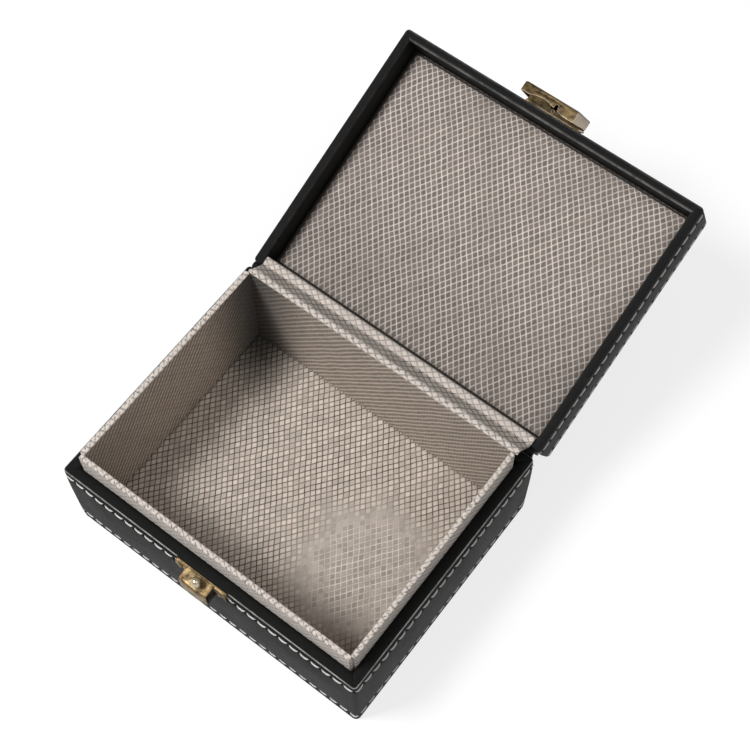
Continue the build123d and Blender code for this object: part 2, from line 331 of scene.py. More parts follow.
# -------- finishes
@dataclass(frozen=True)
class Leather:
    """Black bonded leather with a fine pressed grain.

    The third part of the attribute "detail" marks edges worn by hands, with a painted highlight,
    from 0 to 1.
    """

    name: str = "black_leather"
    deep: Colour = (0.0050, 0.0050, 0.0048)
    worn: Colour = (0.013, 0.013, 0.0125)
    # Colour of worn edges, made light as a painted highlight.
    rubbed_and_highlit: Colour = (0.480, 0.475, 0.455)
    grain_mm: float = 0.62
    crease_mm: float = 0.035
    swell_mm: float = 0.10
    roughness: float = 0.58

    def build(self) -> bpy.types.Material:
        """Makes the material."""
        sh = Shader.named(self.name)
        here = sh.here()
        mark = sh.detail()[3]
        bend = sh.noise(here, 900.0, 2.0)
        cells = sh.out(
            "TexVoronoi",
            "Distance",
            settings={"feature": "DISTANCE_TO_EDGE"},
            inputs={"Vector": here, "Scale": 1.0 / (self.grain_mm * MM), "Randomness": 0.9},
        )
        plump = sh.smooth(cells, 0.0, 0.22)
        pores = sh.smooth(sh.noise(here, 5200.0, 2.0), 0.62, 0.74)
        cloud = sh.noise(here, 70.0, 4.0, 0.6)
        handled = sh.noise(sh.stretched(here, (1.0, 1.0, 3.0)), 160.0, 5.0, 0.7)
        scuff = sh.smooth(handled, 0.56, 0.78)
        patchy = sh.smooth(sh.noise(here, 240.0, 4.0, 0.65), 0.32, 0.66)
        # Marked edges are worn and also carry a painted highlight line.
        rub_and_highlight = mark * (0.40 + patchy * 0.60)
        colour = sh.mix(scuff, self.deep, self.worn)
        colour = sh.mix(rub_and_highlight, colour, self.rubbed_and_highlit)
        colour = sh.shade(colour, 0.74 + plump * 0.20 + cloud * 0.22)
        rough = self.roughness + (1 - plump) * 0.12 + (cloud - 0.5) * 0.18 - rub_and_highlight * 0.08
        height = (plump + bend * 0.5 - pores * 0.5) * self.crease_mm + cloud * self.swell_mm
        surface = {
            "Base Color": colour,
            "Roughness": rough,
            "IOR": 1.31,
            "Specular IOR Level": 0.30,
        }
        return sh.finish(surface, height)


class Weave(Enum):
    """Where a cloth lies, which sets its colours, painted as the light and reflections fall there.
    """

    LID = "lid"
    TRAY = "tray"
    FLOOR = "floor"
    HINGE = "hinge"


@dataclass(frozen=True)
class Cloth:
    """Metallised cloth with two families of raised threads that cross in a diamond grid.

    The attribute "detail" holds the flat cloth's coordinates in millimetres, and, third, how
    far the cloth is turned over an edge, from 0 to 1.

    Attributes:
        where: Where it lies.
        cell: Colour of the diamonds between the bands.
        band: Colour of the broad bands that cross.
        thread: Colour of the thread along the middle of each band, a painted reflection of its
            metal.
        folded: Colour where it is turned over an edge.
        worn: Colour where a turned edge has lost its coating.
        first: Strength of the family of threads that rises to the right.
        second: Strength of the other family.
        band_edges: Distances from a band's middle at which it is whole and gone, in mm.
        thread_edges: The same for the thread.
        thread_share: How much of the thread's colour shows.
        across: Threads per millimetre along the cloth's X.
        along: Threads per millimetre along its Y.
        yarn: Pitch of the fine weave in mm.
        hinge_shade: How much painted shade darkens it towards its back edge.
        hinge_shade_reach: Where that begins and ends on the flat cloth, in mm.
        sheen_patch: Middle of a patch of painted reflection, where the threads show light, on the
            flat cloth.
        sheen_patch_reach: Distances from there at which the patch is whole and gone.
        sheen_patch_ragged: How far the patch's edge wanders.
        shaded_corners: Half the tray's width and depth, whose inner corners get painted shade, in
            mm.
        corner_shade_reach: How far the painted shade reaches from the walls, in metres.
    """

    where: Weave
    cell: Colour
    band: Colour
    thread: Colour
    folded: Colour
    worn: Colour = (0.062, 0.047, 0.038)
    first: float = 1.0
    second: float = 1.0
    band_edges: Pair = (0.14, 0.44)
    thread_edges: Pair = (0.07, 0.19)
    thread_share: float = 0.8
    across: float = 0.385
    along: float = 0.285
    yarn: float = 0.34
    hinge_shade: float = 0.0
    hinge_shade_reach: Pair = (-12.0, 46.0)
    sheen_patch: Optional[Pair] = None
    sheen_patch_reach: Pair = (14.0, 36.0)
    sheen_patch_ragged: float = 26.0
    shaded_corners: Optional[Pair] = None
    corner_shade_reach: float = 0.032

    def build(self) -> bpy.types.Material:
        """Makes the material."""
        sh = Shader.named("shielding_cloth_" + self.where.value)
        flat, s, t, turned = sh.detail()
        wander = (sh.noise(flat, 0.09, 1.0) - 0.5) * 0.5
        pitch = 1.0 / math.hypot(self.across, self.along)
        phases = (
            s * self.across + t * self.along + wander,
            t * self.along - s * self.across + wander,
        )
        aways = [abs(sh.maths("FRACT", p) - 0.5) for p in phases]
        fourths = [sh.maths("POWER", a, 4.0) for a in aways]
        corner = sh.maths("POWER", fourths[0] + fourths[1], 0.25)
        fuzz = sh.noise(flat, 3.1, 3.0, 0.7) - 0.5
        gap = (0.5 - corner) * pitch + fuzz * 0.20
        line = (0.5 - sh.maths("MAXIMUM", *aways)) * pitch + fuzz * 0.12
        family = sh.smooth(aways[1] - aways[0], -0.12, 0.12)
        share = self.first + family * (self.second - self.first)
        band = sh.smooth(gap, self.band_edges[1], self.band_edges[0]) * share
        thread = sh.smooth(line, self.thread_edges[1], self.thread_edges[0]) * share
        crossing = sh.smooth(sh.maths("MINIMUM", *aways), 0.20, 0.38)
        cell_place = sh.out(
            "CombineXYZ", 0, inputs={i: sh.maths("FLOOR", p) for i, p in enumerate(phases)}
        )
        odd_cell = sh.out("TexWhiteNoise", 0, inputs={"Vector": cell_place})
        lines = [
            sh.out("TexWhiteNoise", 0, settings={"noise_dimensions": "1D"}, inputs={"W": n})
            for n in (sh.maths("FLOOR", p + 0.5) for p in phases)
        ]
        odd_line = (lines[0] + lines[1]) * 0.5
        fine = [sh.maths("SINE", v * (2 * math.pi / self.yarn)) for v in (s, t)]
        weave = fine[0] * fine[1]
        colour = sh.shade(self.cell, 0.80 + odd_cell * 0.34 + weave * 0.12)
        light = sh.shade(self.band, 0.86 + odd_line * 0.26 + weave * 0.06)
        colour = sh.mix(band, colour, light)
        shown = thread * (0.35 + odd_line * 0.65) * self.thread_share
        lines_seen = self.thread
        # Painted reflection: in this patch the threads show light and the cells darker, as the
        # threads' sheen flips.
        if self.sheen_patch:
            settings, ends = {"operation": "DISTANCE"}, {0: flat, 1: (*self.sheen_patch, 0.0)}
            away = sh.out("VectorMath", "Value", settings=settings, inputs=ends)
            ragged = (sh.noise(flat, 0.06, 3.0) - 0.5) * self.sheen_patch_ragged
            sheen_flip = sh.smooth(away + ragged, self.sheen_patch_reach[1], self.sheen_patch_reach[0])
            lines_seen = sh.mix(sheen_flip, self.thread, self.folded)
            colour = sh.shade(colour, 1 - sheen_flip * (1 - band * 0.6) * 0.34)
        colour = sh.mix(shown, colour, lines_seen)
        blotch = sh.smooth(sh.noise(flat, 1.5, 3.0, 0.7), 0.34, 0.66)
        colour = sh.mix(turned * (0.74 + blotch * 0.26), colour, self.folded)
        broken = sh.smooth(line, 0.46, 0.12) * sh.smooth(sh.noise(flat, 1.1, 2.0, 0.6), 0.42, 0.54)
        broken = sh.maths("MAXIMUM", broken, crossing * 0.7) * (0.45 + blotch * 0.55)
        colour = sh.mix(sh.smooth(turned, 0.3, 0.75) * broken * 0.88, colour, self.worn)
        # Painted shade: the cloth darker towards its back edge.
        dim = 1 - sh.smooth(t, *self.hinge_shade_reach) * self.hinge_shade
        # Painted shade: darker in the tray's inner corners, most in the back left one.
        if self.shaded_corners:
            x, y, _ = sh.axes(sh.here())
            inward = sh.maths("MAXIMUM", self.shaded_corners[0] * MM - abs(x), self.shaded_corners[1] * MM - abs(y))
            back_left = sh.smooth(y - x, 0.02, 0.09)
            corner_shade = sh.smooth(inward, self.corner_shade_reach, 0.0) * (0.10 + back_left * 0.78)
            dim = dim * (1 - corner_shade * (1 - turned))
        colour = sh.shade(colour, dim)
        rough = 0.78 - band * 0.12 - shown * 0.18
        pillow = sh.smooth(gap, 0.05, 0.75)
        height = pillow * 0.07 + thread * 0.06 + weave * 0.012 + fuzz * 0.03
        surface = {
            "Base Color": colour,
            "Roughness": rough,
            "Metallic": shown * 0.25,
            "Specular IOR Level": 0.35,
            "Sheen Weight": 0.12,
        }
        return sh.finish(surface, height)


@dataclass(frozen=True)
class Thread:
    """White waxed sewing thread of three plies."""

    name: str = "white_thread"
    clean: Colour = (0.70, 0.685, 0.65)
    dark_tint: Colour = (0.36, 0.34, 0.31)

    def build(self) -> bpy.types.Material:
        """Makes the material."""
        sh = Shader.named(self.name)
        here = sh.here()
        hairs = sh.noise(here, 5200.0, 3.0, 0.7)
        dirt = sh.smooth(sh.noise(here, 420.0, 4.0, 0.6), 0.50, 0.80)
        # Darker in the hollows between the plies, and with dirt from the noise.
        ply_hollows = sh.smooth(sh.out("NewGeometry", "Pointiness"), 0.50, 0.42)
        dirt_and_hollows = sh.maths("ADD", dirt * 0.35, ply_hollows * 0.6, clamp=True)
        colour = sh.mix(dirt_and_hollows, self.clean, self.dark_tint)
        colour = sh.shade(colour, 0.85 + hairs * 0.3)
        surface = {"Base Color": colour, "Roughness": 0.5 + hairs * 0.3, "Sheen Weight": 0.2}
        return sh.finish(surface, hairs * 0.05)


@dataclass(frozen=True)
class Brass:
    """Stamped brass, brushed along X, darkened in its hollows and worn bright on its edges.

    The third part of the attribute "detail" marks worn edges with a painted highlight, to 1, and
    darkened places, to -1.
    """

    name: str
    bright: Colour
    dark: Colour
    tarnish: float
    roughness: float
    rubbed_and_highlit: Colour = (0.34, 0.305, 0.255)

    def build(self) -> bpy.types.Material:
        """Makes the material."""
        sh = Shader.named(self.name)
        here = sh.here()
        mark = sh.detail()[3]
        brushed = sh.noise(sh.stretched(here, (60.0, 3800.0, 3800.0)), 1.0, 3.0, 0.6)
        cloud = sh.noise(here, 330.0, 5.0, 0.65)
        spots = sh.smooth(sh.noise(here, 1500.0, 3.0, 0.6), 0.60, 0.74)
        point = sh.out("NewGeometry", "Pointiness")
        hollow = sh.smooth(point, 0.49, 0.40)
        edge = sh.smooth(point, 0.52, 0.60)
        patches = sh.smooth(cloud, 0.40, 0.70) * self.tarnish
        stain = patches + hollow * 0.8 + spots * 0.25 * self.tarnish
        stain = sh.maths("SUBTRACT", stain, edge * 0.8, clamp=True)
        colour = sh.mix(stain, self.bright, self.dark)
        # Positive marks: worn edges, lit as a painted highlight; negative marks darken and roughen
        # the brass.
        rub_and_highlight = sh.maths("MULTIPLY", mark, 0.72 + cloud * 0.4, clamp=True)
        dark_mark = sh.maths("MULTIPLY", mark, -1.0, clamp=True)
        colour = sh.mix(rub_and_highlight, colour, self.rubbed_and_highlit)
        colour = sh.shade(colour, (0.82 + brushed * 0.36) * (1 - dark_mark * 0.86))
        rough = self.roughness + stain * 0.20 + (brushed - 0.5) * 0.16 + dark_mark * 0.3 + rub_and_highlight * 0.12
        height = (brushed - 0.5) * 0.012 + (cloud - 0.5) * 0.05
        metal = sh.maths("MAXIMUM", 1 - stain * 0.25, dark_mark)
        surface = {"Base Color": colour, "Roughness": rough, "Metallic": metal}
        return sh.finish(surface, height)


@dataclass(frozen=True)
class Board:
    """Raw grey-brown fibreboard with short fibres and a rubbed face."""

    name: str
    pale: Colour
    deep: Colour
    fibre_mm: float = 0.8

    def build(self) -> bpy.types.Material:
        """Makes the material."""
        sh = Shader.named(self.name)
        here = sh.here()
        fibres = sh.noise(sh.stretched(here, (1.0, 3.0, 5.0)), 1.0 / (self.fibre_mm * MM), 5.0, 0.7)
        cloud = sh.noise(here, 45.0, 3.0)
        flecks = sh.smooth(sh.noise(here, 2600.0, 2.0), 0.66, 0.74)
        colour = sh.mix(sh.smooth(fibres, 0.30, 0.70), self.deep, self.pale)
        colour = sh.shade(colour, 0.80 + cloud * 0.35 - flecks * 0.30)
        surface = {"Base Color": colour, "Roughness": 0.86 - flecks * 0.10}
        return sh.finish(surface, fibres * 0.06)


@dataclass(frozen=True)
class Steel:
    """Blued spring steel."""

    name: str = "spring_steel"
    bare: Colour = (0.50, 0.50, 0.51)
    blued: Colour = (0.13, 0.15, 0.20)

    def build(self) -> bpy.types.Material:
        """Makes the material."""
        sh = Shader.named(self.name)
        here = sh.here()
        drawn = sh.noise(sh.stretched(here, (90.0, 2400.0, 2400.0)), 1.0, 3.0)
        cloud = sh.smooth(sh.noise(here, 260.0, 3.0), 0.35, 0.70)
        colour = sh.mix(cloud, self.bare, self.blued)
        surface = {"Base Color": colour, "Roughness": 0.25 + drawn * 0.2, "Metallic": 1.0}
        return sh.finish(surface, drawn * 0.01)


# -------- mesh helpers
class Draft:
    """Points, faces and per-point data of one mesh, in millimetres."""

    def __init__(self) -> None:
        """Starts an empty draft."""
        self.points: list[np.ndarray] = []
        self.faces: list[Face] = []
        self.details: list[np.ndarray] = []
        self.count = 0

    def add(
        self,
        points: np.ndarray,
        faces: Sequence[Sequence[int]],
        detail: Optional[np.ndarray] = None,
    ) -> None:
        """Adds a shape.

        Args:
            points: N rows of X, Y and Z.
            faces: Corner numbers of each face.
            detail: N rows of flat place and mark, which the finishes read.
        """
        self.points.append(np.asarray(points, float))
        self.faces += [tuple(i + self.count for i in face) for face in faces]
        blank = np.zeros((len(points), 3))
        self.details.append(blank if detail is None else np.asarray(detail, float))
        self.count += len(points)

    def grid(
        self, points: np.ndarray, wrap_u: bool, wrap_v: bool, detail: Optional[np.ndarray] = None
    ) -> None:
        """Adds a sheet of quads.

        Args:
            points: Array of rows by columns by 3.
            wrap_u: Whether the last column joins the first.
            wrap_v: Whether the last row joins the first.
            detail: Flat place and mark in the same layout.
        """
        rows, columns = points.shape[:2]
        faces = []
        for r in range(rows if wrap_v else rows - 1):
            for c in range(columns if wrap_u else columns - 1):
                row, next_row, c2 = r * columns, (r + 1) % rows * columns, (c + 1) % columns
                faces.append((row + c, row + c2, next_row + c2, next_row + c))
        self.add(points.reshape(-1, 3), faces, None if detail is None else detail.reshape(-1, 3))

    def cap_rows(self, row: int, columns: int) -> None:
        """Takes out the band between two rows of a grid and caps each row with one face.

        Args:
            row: The first of the two rows.
            columns: Number of points in a row.
        """
        first, second = row * columns, (row + 1) * columns
        end = second + columns
        self.faces = [f for f in self.faces if not (min(f) >= first and max(f) < end)]
        self.faces += [tuple(range(start, start + columns)) for start in (first, second)]

    def object(
        self, name: str, material: bpy.types.Material, place: Optional[Matrix] = None
    ) -> bpy.types.Object:
        """Makes the object, smooth shaded and with its normals outwards.

        Args:
            name: Its name.
            material: Its material.
            place: Turns and moves the millimetre points before they become metres.

        Returns:
            The new object.
        """
        points = np.concatenate(self.points)
        if place is not None:
            turn = np.array(place)
            points = points @ turn[:3, :3].T + turn[:3, 3]
        mesh = bpy.data.meshes.new(name)
        mesh.from_pydata((points * MM).tolist(), [], self.faces)
        mesh.attributes.new("detail", "FLOAT_VECTOR", "POINT").data.foreach_set(
            "vector", np.concatenate(self.details).astype(np.float32).ravel()
        )
        mesh.materials.append(material)
        made = bpy.data.objects.new(name, mesh)
        bpy.context.scene.collection.objects.link(made)
        self._face_outwards(mesh)
        mesh.shade_smooth()
        return made

    @staticmethod
    def _face_outwards(mesh: bpy.types.Mesh) -> None:
        """Turns each closed shape's faces outwards.

        Args:
            mesh: The mesh.
        """
        work = bmesh.new()
        work.from_mesh(mesh)
        bmesh.ops.recalc_face_normals(work, faces=work.faces)
        work.to_mesh(mesh)
        work.free()


def soften(made: bpy.types.Object, width: float, angle: float = 30.0) -> None:
    """Rounds an object's sharp edges.

    Args:
        made: The object.
        width: Width of the rounding in millimetres.
        angle: Edges sharper than this many degrees are rounded.
    """
    bevel = made.modifiers.new("rounding", "BEVEL")
    bevel.width = width * MM
    bevel.segments = 2
    bevel.limit_method = "ANGLE"
    bevel.angle_limit = math.radians(angle)


def settled(made: bpy.types.Object, body: str, node: str) -> bpy.types.Object:
    """Hands a finished piece to the frame.

    Args:
        made: The piece.
        body: The body that it rides on.
        node: The node that it stands for.

    Returns:
        The same piece.
    """
    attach(made, body)
    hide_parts(node)
    log.info("%s rides on %s", made.name, body)
    return made


def ease(x: np.ndarray) -> np.ndarray:
    """Smooth step from 0 to 1.

    Args:
        x: Values; those under 0 give 0 and those over 1 give 1.

    Returns:
        The eased values.
    """
    x = np.clip(x, 0.0, 1.0)
    return x * x * (3 - 2 * x)


def hump(x: np.ndarray, half: float) -> np.ndarray:
    """Bell-shaped rise around 0.

    Args:
        x: Distances from its middle.
        half: Distance at which it has fallen to about a third.

    Returns:
        Values from 0 to 1.
    """
    return np.exp(-((x / half) ** 2))


def cloudy(x: Numbers, y: Numbers, z: Numbers) -> np.ndarray:
    """Reads smooth noise, about from -1 to 1.

    Args:
        x: X of the places where it is read.
        y: Y of them.
        z: Z of them.

    Returns:
        One value for each place.
    """
    x, y, z = np.broadcast_arrays(x, y, z)
    values = [noise.noise(Vector(place)) for place in zip(x.flat, y.flat, z.flat)]
    return np.array(values).reshape(x.shape)


def way_along(path: np.ndarray) -> np.ndarray:
    """Length of the way along a path to each of its points.

    Args:
        path: One row for each point.

    Returns:
        The lengths, from 0.
    """
    steps = np.linalg.norm(np.diff(path, axis=0), axis=1)
    return np.concatenate([[0.0], np.cumsum(steps)])


def sideways(path: np.ndarray) -> np.ndarray:
    """Unit vectors square to a flat path, on its left.

    Args:
        path: One row of two numbers for each point.

    Returns:
        One row for each point.
    """
    tangent = np.gradient(path, axis=0)
    tangent /= np.linalg.norm(tangent, axis=1, keepdims=True)
    return np.column_stack([-tangent[:, 1], tangent[:, 0]])


def soft_box(
    low: Sequence[float], high: Sequence[float], radius: float, step: float
) -> tuple[np.ndarray, list[Face]]:
    """Builds a closed box with rounded edges.

    Args:
        low: Lowest corner.
        high: Highest corner.
        radius: Radius of the edges.
        step: Largest spacing of its points on the flats.

    Returns:
        Its points and its faces.
    """
    low, high = np.array(low, float), np.array(high, float)
    ticks = []
    for a, b in zip(low, high):
        r = min(radius, (b - a) * BOX_ROUND_SHARE)
        bend = r * (1 - np.cos(np.linspace(0, math.pi / 2, 5)))
        flat = np.linspace(a + r, b - r, max(2, int(math.ceil((b - a - 2 * r) / step)) + 1))
        ticks.append(np.concatenate([a + bend[:-1], flat, (b - bend[:-1])[::-1]]))
    index: dict[tuple[int, int, int], int] = {}
    points: list[tuple[float, ...]] = []
    faces: list[Face] = []
    counts = [len(t) for t in ticks]

    def corner(i: int, j: int, k: int) -> int:
        """Number of the point at these ticks, made on first use."""
        key = (i, j, k)
        if key not in index:
            index[key] = len(points)
            points.append((ticks[0][i], ticks[1][j], ticks[2][k]))
        return index[key]

    for axis in range(3):
        u, v = (axis + 1) % 3, (axis + 2) % 3
        for end in (0, counts[axis] - 1):
            for a in range(counts[u] - 1):
                for b in range(counts[v] - 1):
                    face = []
                    for da, db in ((0, 0), (1, 0), (1, 1), (0, 1)):
                        key = [0, 0, 0]
                        key[axis], key[u], key[v] = end, a + da, b + db
                        face.append(corner(*key))
                    faces.append(tuple(face))
    pts = np.array(points)
    reach = np.minimum(radius, (high - low) * BOX_ROUND_SHARE)
    core = np.clip(pts, low + reach, high - reach)
    away = (pts - core) / reach
    length = np.linalg.norm(away, axis=1, keepdims=True)
    away = np.where(length > TINY, away / np.maximum(length, TINY), 0.0)
    return core + away * reach, faces


def marked(rows: Sequence[np.ndarray], marks: Sequence[float]) -> np.ndarray:
    """Lays out the attribute "detail" for rings that each have one mark.

    Args:
        rows: The rings.
        marks: One mark for each ring.

    Returns:
        Array of rings by points by 3.
    """
    detail = np.zeros((len(rows), len(rows[0]), 3))
    detail[..., 2] = np.array(marks)[:, None]
    return detail


@dataclass
class Outline:
    """A rounded rectangle as a ring of stations that can be drawn in or out."""

    half_x: float
    half_y: float
    radius: float
    spacing: float = 0.6
    corner_steps: int = 8
    least_bend: float = 0.06

    def __post_init__(self) -> None:
        """Lays out the stations, from the middle of the back round to it again."""
        stations: list[tuple[float, float, float, float]] = []
        across = max(8, int(round(2 * (self.half_x - self.radius) / self.spacing)) // 2 * 2)
        along = max(8, int(round(2 * (self.half_y - self.radius) / self.spacing)))

        def corner(sx: float, sy: float, start: float) -> None:
            """Adds a corner's stations, turning to the left from an angle in degrees."""
            for i in range(1, self.corner_steps):
                turn = math.radians(start + 90 * i / self.corner_steps)
                stations.append((sx, sy, math.cos(turn), math.sin(turn)))

        stations += [(f, 1, 0, 1) for f in np.linspace(0, -1, across // 2 + 1)]
        corner(-1, 1, 90)
        stations += [(-1, f, -1, 0) for f in np.linspace(1, -1, along + 1)]
        corner(-1, -1, 180)
        stations += [(f, -1, 0, -1) for f in np.linspace(-1, 1, across + 1)]
        corner(1, -1, 270)
        stations += [(1, f, 1, 0) for f in np.linspace(-1, 1, along + 1)]
        corner(1, 1, 0)
        stations += [(f, 1, 0, 1) for f in np.linspace(1, 0, across // 2 + 1)[:-1]]
        table = np.array(stations, float)
        self.share, self.normal = table[:, :2], table[:, 2:]
        ring = self.ring(0.0)
        self.lengths = way_along(np.concatenate([ring, ring[:1]]))

    def ring(self, out: Numbers) -> np.ndarray:
        """Places the stations.

        Args:
            out: How far outside the outline they lie, or inside if negative.

        Returns:
            One row of X and Y for each station.
        """
        out = np.broadcast_to(np.asarray(out, float), (len(self.share),))
        bend = np.maximum(self.radius + out, self.least_bend)
        half = np.stack([self.half_x + out - bend, self.half_y + out - bend], 1)
        return self.share * half + self.normal * bend[:, None]

    def level(self, out: Numbers, z: float) -> np.ndarray:
        """Places the stations at one height.

        Args:
            out: How far outside the outline they lie, or inside if negative.
            z: Their height.

        Returns:
            One row of X, Y and Z for each station.
        """
        ring = self.ring(out)
        return np.column_stack([ring, np.full(len(ring), z)])

    def at(self, way: np.ndarray) -> tuple[np.ndarray, np.ndarray]:
        """Points part of the way round.

        Args:
            way: Lengths of the way round.

        Returns:
            The points and the outward normals there.
        """
        way = np.mod(way, self.lengths[-1])
        point, facing = (
            np.stack([np.interp(way, self.lengths, [*part, part[0]]) for part in parts.T], 1)
            for parts in (self.ring(0.0), self.normal)
        )
        return point, facing / np.linalg.norm(facing, axis=1, keepdims=True)

    def fullness(self, fade: float) -> np.ndarray:
        """How far each station is from the corners, from 0 to 1.

        Args:
            fade: Distance over which it rises to 1.

        Returns:
            One share for each station.
        """
        reach = np.array([self.half_x - self.radius, self.half_y - self.radius])
        short = (1 - np.abs(self.share)) * reach
        return ease(short.max(axis=1) / fade)


@dataclass(frozen=True)
class Seam:
    """A row of saddle stitches round a shell.

    Attributes:
        level: Height of the row.
        count: Number of stitches all round.
        length: Length of a stitch.
        bow: How far a stitch's ends stand above its middle.
        lift: How far its middle stands off the leather.
        wide: Half its width along the wall.
        thick: Half its thickness off the wall.
        phase: Place of the first stitch, as a share of the distance between two.
        gap: X at which a fitting on the front wall hides the row, from and to.
        rings: Cross sections of a stitch.
        sides: Points of a cross section.
        twist: How far the plies turn over half a stitch, in radians.
    """

    level: float
    count: int
    length: float = 3.75
    bow: float = 0.75
    lift: float = 0.30
    wide: float = 0.46
    thick: float = 0.34
    phase: float = 0.0
    gap: Optional[Pair] = None
    rings: int = 15
    sides: int = 9
    twist: float = 5.2

    def centres(self, outline: Outline) -> np.ndarray:
        """Lengths of the way round at the middle of each stitch.

        Args:
            outline: The shell's outline.

        Returns:
            The lengths.
        """
        pitch = outline.lengths[-1] / self.count
        return (np.arange(self.count) + self.phase) * pitch

    def pucker(self, outline: Outline, z: np.ndarray) -> np.ndarray:
        """How far the thread pulls the leather in.

        Args:
            outline: The shell's outline.
            z: Heights.

        Returns:
            Array of heights by stations, in millimetres.
        """
        pitch = outline.lengths[-1] / self.count
        turn = 2 * math.pi * (outline.lengths[:-1] / pitch - self.phase)
        holes = 0.5 - 0.5 * np.cos(turn)
        rise = np.asarray(z, float)[:, None] - self.level
        groove = hump(rise, 1.0) * 0.14
        return groove + hump(rise, 0.55) * 0.30 * holes[None, :] ** 3

    def draw(self, outline: Outline, out: Callable[[np.ndarray], np.ndarray]) -> Draft:
        """Builds the stitches.

        Args:
            outline: The shell's outline.
            out: Gives how far outside the outline the leather lies, by length of the way.

        Returns:
            One closed thread for each stitch.
        """
        draft = Draft()
        rings, sides = self.rings, self.sides
        tau = np.sin(np.linspace(-math.pi / 2, math.pi / 2, rings))
        around = np.linspace(0, 2 * math.pi, sides, endpoint=False)
        swell = np.sqrt(np.clip(1 - tau**6, 0.0, 1.0))
        ply = 1 + 0.13 * np.cos(3 * around[None, :] - self.twist * 3 * tau[:, None])
        up = self.wide * ply * np.cos(around)[None, :] * swell[:, None]
        forward = self.thick * ply * np.sin(around)[None, :] * swell[:, None]
        faces = []
        for start in range(0, (rings - 1) * sides, sides):
            for c in range(sides):
                here, beside = start + c, start + (c + 1) % sides
                faces.append((here, beside, beside + sides, here + sides))
        faces += [tuple(range(sides))[::-1], tuple(range((rings - 1) * sides, rings * sides))]
        for number, middle in enumerate(self.centres(outline)):
            way = middle + tau * self.length / 2
            point, facing = outline.at(way)
            x, y = point[rings // 2]
            if self.gap and y < 0 and self.gap[0] < x < self.gap[1]:
                continue
            wobble = math.sin(number * 12.9898) * 0.06
            rise = out(way) + self.lift * (1 - tau**4) - 0.16
            drop = -self.bow * (1 - tau**2) + self.bow * 0.55 + wobble
            flat = point[:, None, :] + facing[:, None, :] * (rise[:, None] + forward)[..., None]
            level = self.level + drop[:, None] + up
            draft.add(np.concatenate([flat, level[..., None]], 2).reshape(-1, 3), faces)
        return draft


@dataclass(frozen=True)
class Flat:
    """A patch of a front or back wall that a fitting holds flat.

    Attributes:
        facing: -1 on the front wall, 1 on the back wall.
        centre: X of its middle.
        half: Half its width.
        low: Its lower edge.
        high: Its upper edge.
        fade: Distance over which the wall goes back to its own form.
    """

    facing: int
    centre: float
    half: float
    low: float
    high: float
    fade: float = 1.6

    def hold(self, outline: Outline, z: np.ndarray) -> np.ndarray:
        """How firmly the wall is held.

        Args:
            outline: The shell's outline.
            z: Heights.

        Returns:
            Array of heights by stations, from 0 to 1.
        """
        away = np.abs(outline.ring(0.0)[:, 0] - self.centre) - self.half
        along = ease(1 - away / self.fade) * (outline.normal[:, 1] * self.facing > 0.9)
        up = ease(1 - (self.low - z) / self.fade) * ease(1 - (z - self.high) / self.fade)
        return up[:, None] * along[None, :]


@dataclass
class Shell:
    """Leather over a board box: its walls puff out between the rows of stitches.

    Attributes:
        outline: Its outline.
        seams: Its two rows of stitches.
        low: Height of the walls' foot.
        high: Height of their top.
        puff: How far they puff out between the rows.
        flats: Patches that stay flat.
        bulge: How far they sag out as a whole.
        unevenness: How far they wander in and out.
    """

    outline: Outline
    seams: tuple[Seam, Seam]
    low: float
    high: float
    puff: float
    flats: tuple[Flat, ...]
    bulge: float = 0.0
    unevenness: float = 0.16

    def out(self, z: np.ndarray) -> np.ndarray:
        """How far the leather lies outside the board's line.

        Args:
            z: Heights on the wall.

        Returns:
            Array of heights by stations, in millimetres.
        """
        z = np.asarray(z, float)
        first, last = sorted(seam.level for seam in self.seams)
        share = np.clip((z - first) / (last - first), 0, 1)
        dome = (4 * share * (1 - share)) ** 0.8 * self.puff
        full = 0.30 + 0.70 * self.outline.fullness(16.0)
        pull = sum(seam.pucker(self.outline, z) for seam in self.seams)
        x, y = self.outline.ring(0.0).T
        sway = cloudy(x * 0.045, y * 0.045, z[::4, None] * 0.06)
        sway = np.repeat(sway, 4, axis=0)[: len(z)]
        band = (z > first + 1) & (z < last - 1)
        hang = np.clip((self.high - 1.0 - z) / (self.high - 1.0 - self.low), 0, 1)
        belly = np.sin(math.pi * np.sqrt(hang)) * self.bulge
        body = (dome + belly)[:, None] * full[None, :] + sway * self.unevenness * band[:, None]
        held = np.max([flat.hold(self.outline, z) for flat in self.flats], axis=0)
        return body * (1 - held) - pull

    def thread_line(self, seam: Seam) -> Callable[[np.ndarray], np.ndarray]:
        """How far outside the outline a seam's leather lies, by length of the way round.

        Args:
            seam: The seam.

        Returns:
            A function of lengths.
        """
        row = self.out(np.array([seam.level - 0.2]))[0]
        lengths, side = self.outline.lengths, 6
        window = np.ones(2 * side + 1) / (2 * side + 1)
        joined_row = np.concatenate([row[-side:], row, row[:side]])
        steady = np.convolve(joined_row, window, "same")[side:-side]
        values = np.concatenate([steady, steady[:1]])
        return lambda way: np.interp(np.mod(way, lengths[-1]), lengths, values)


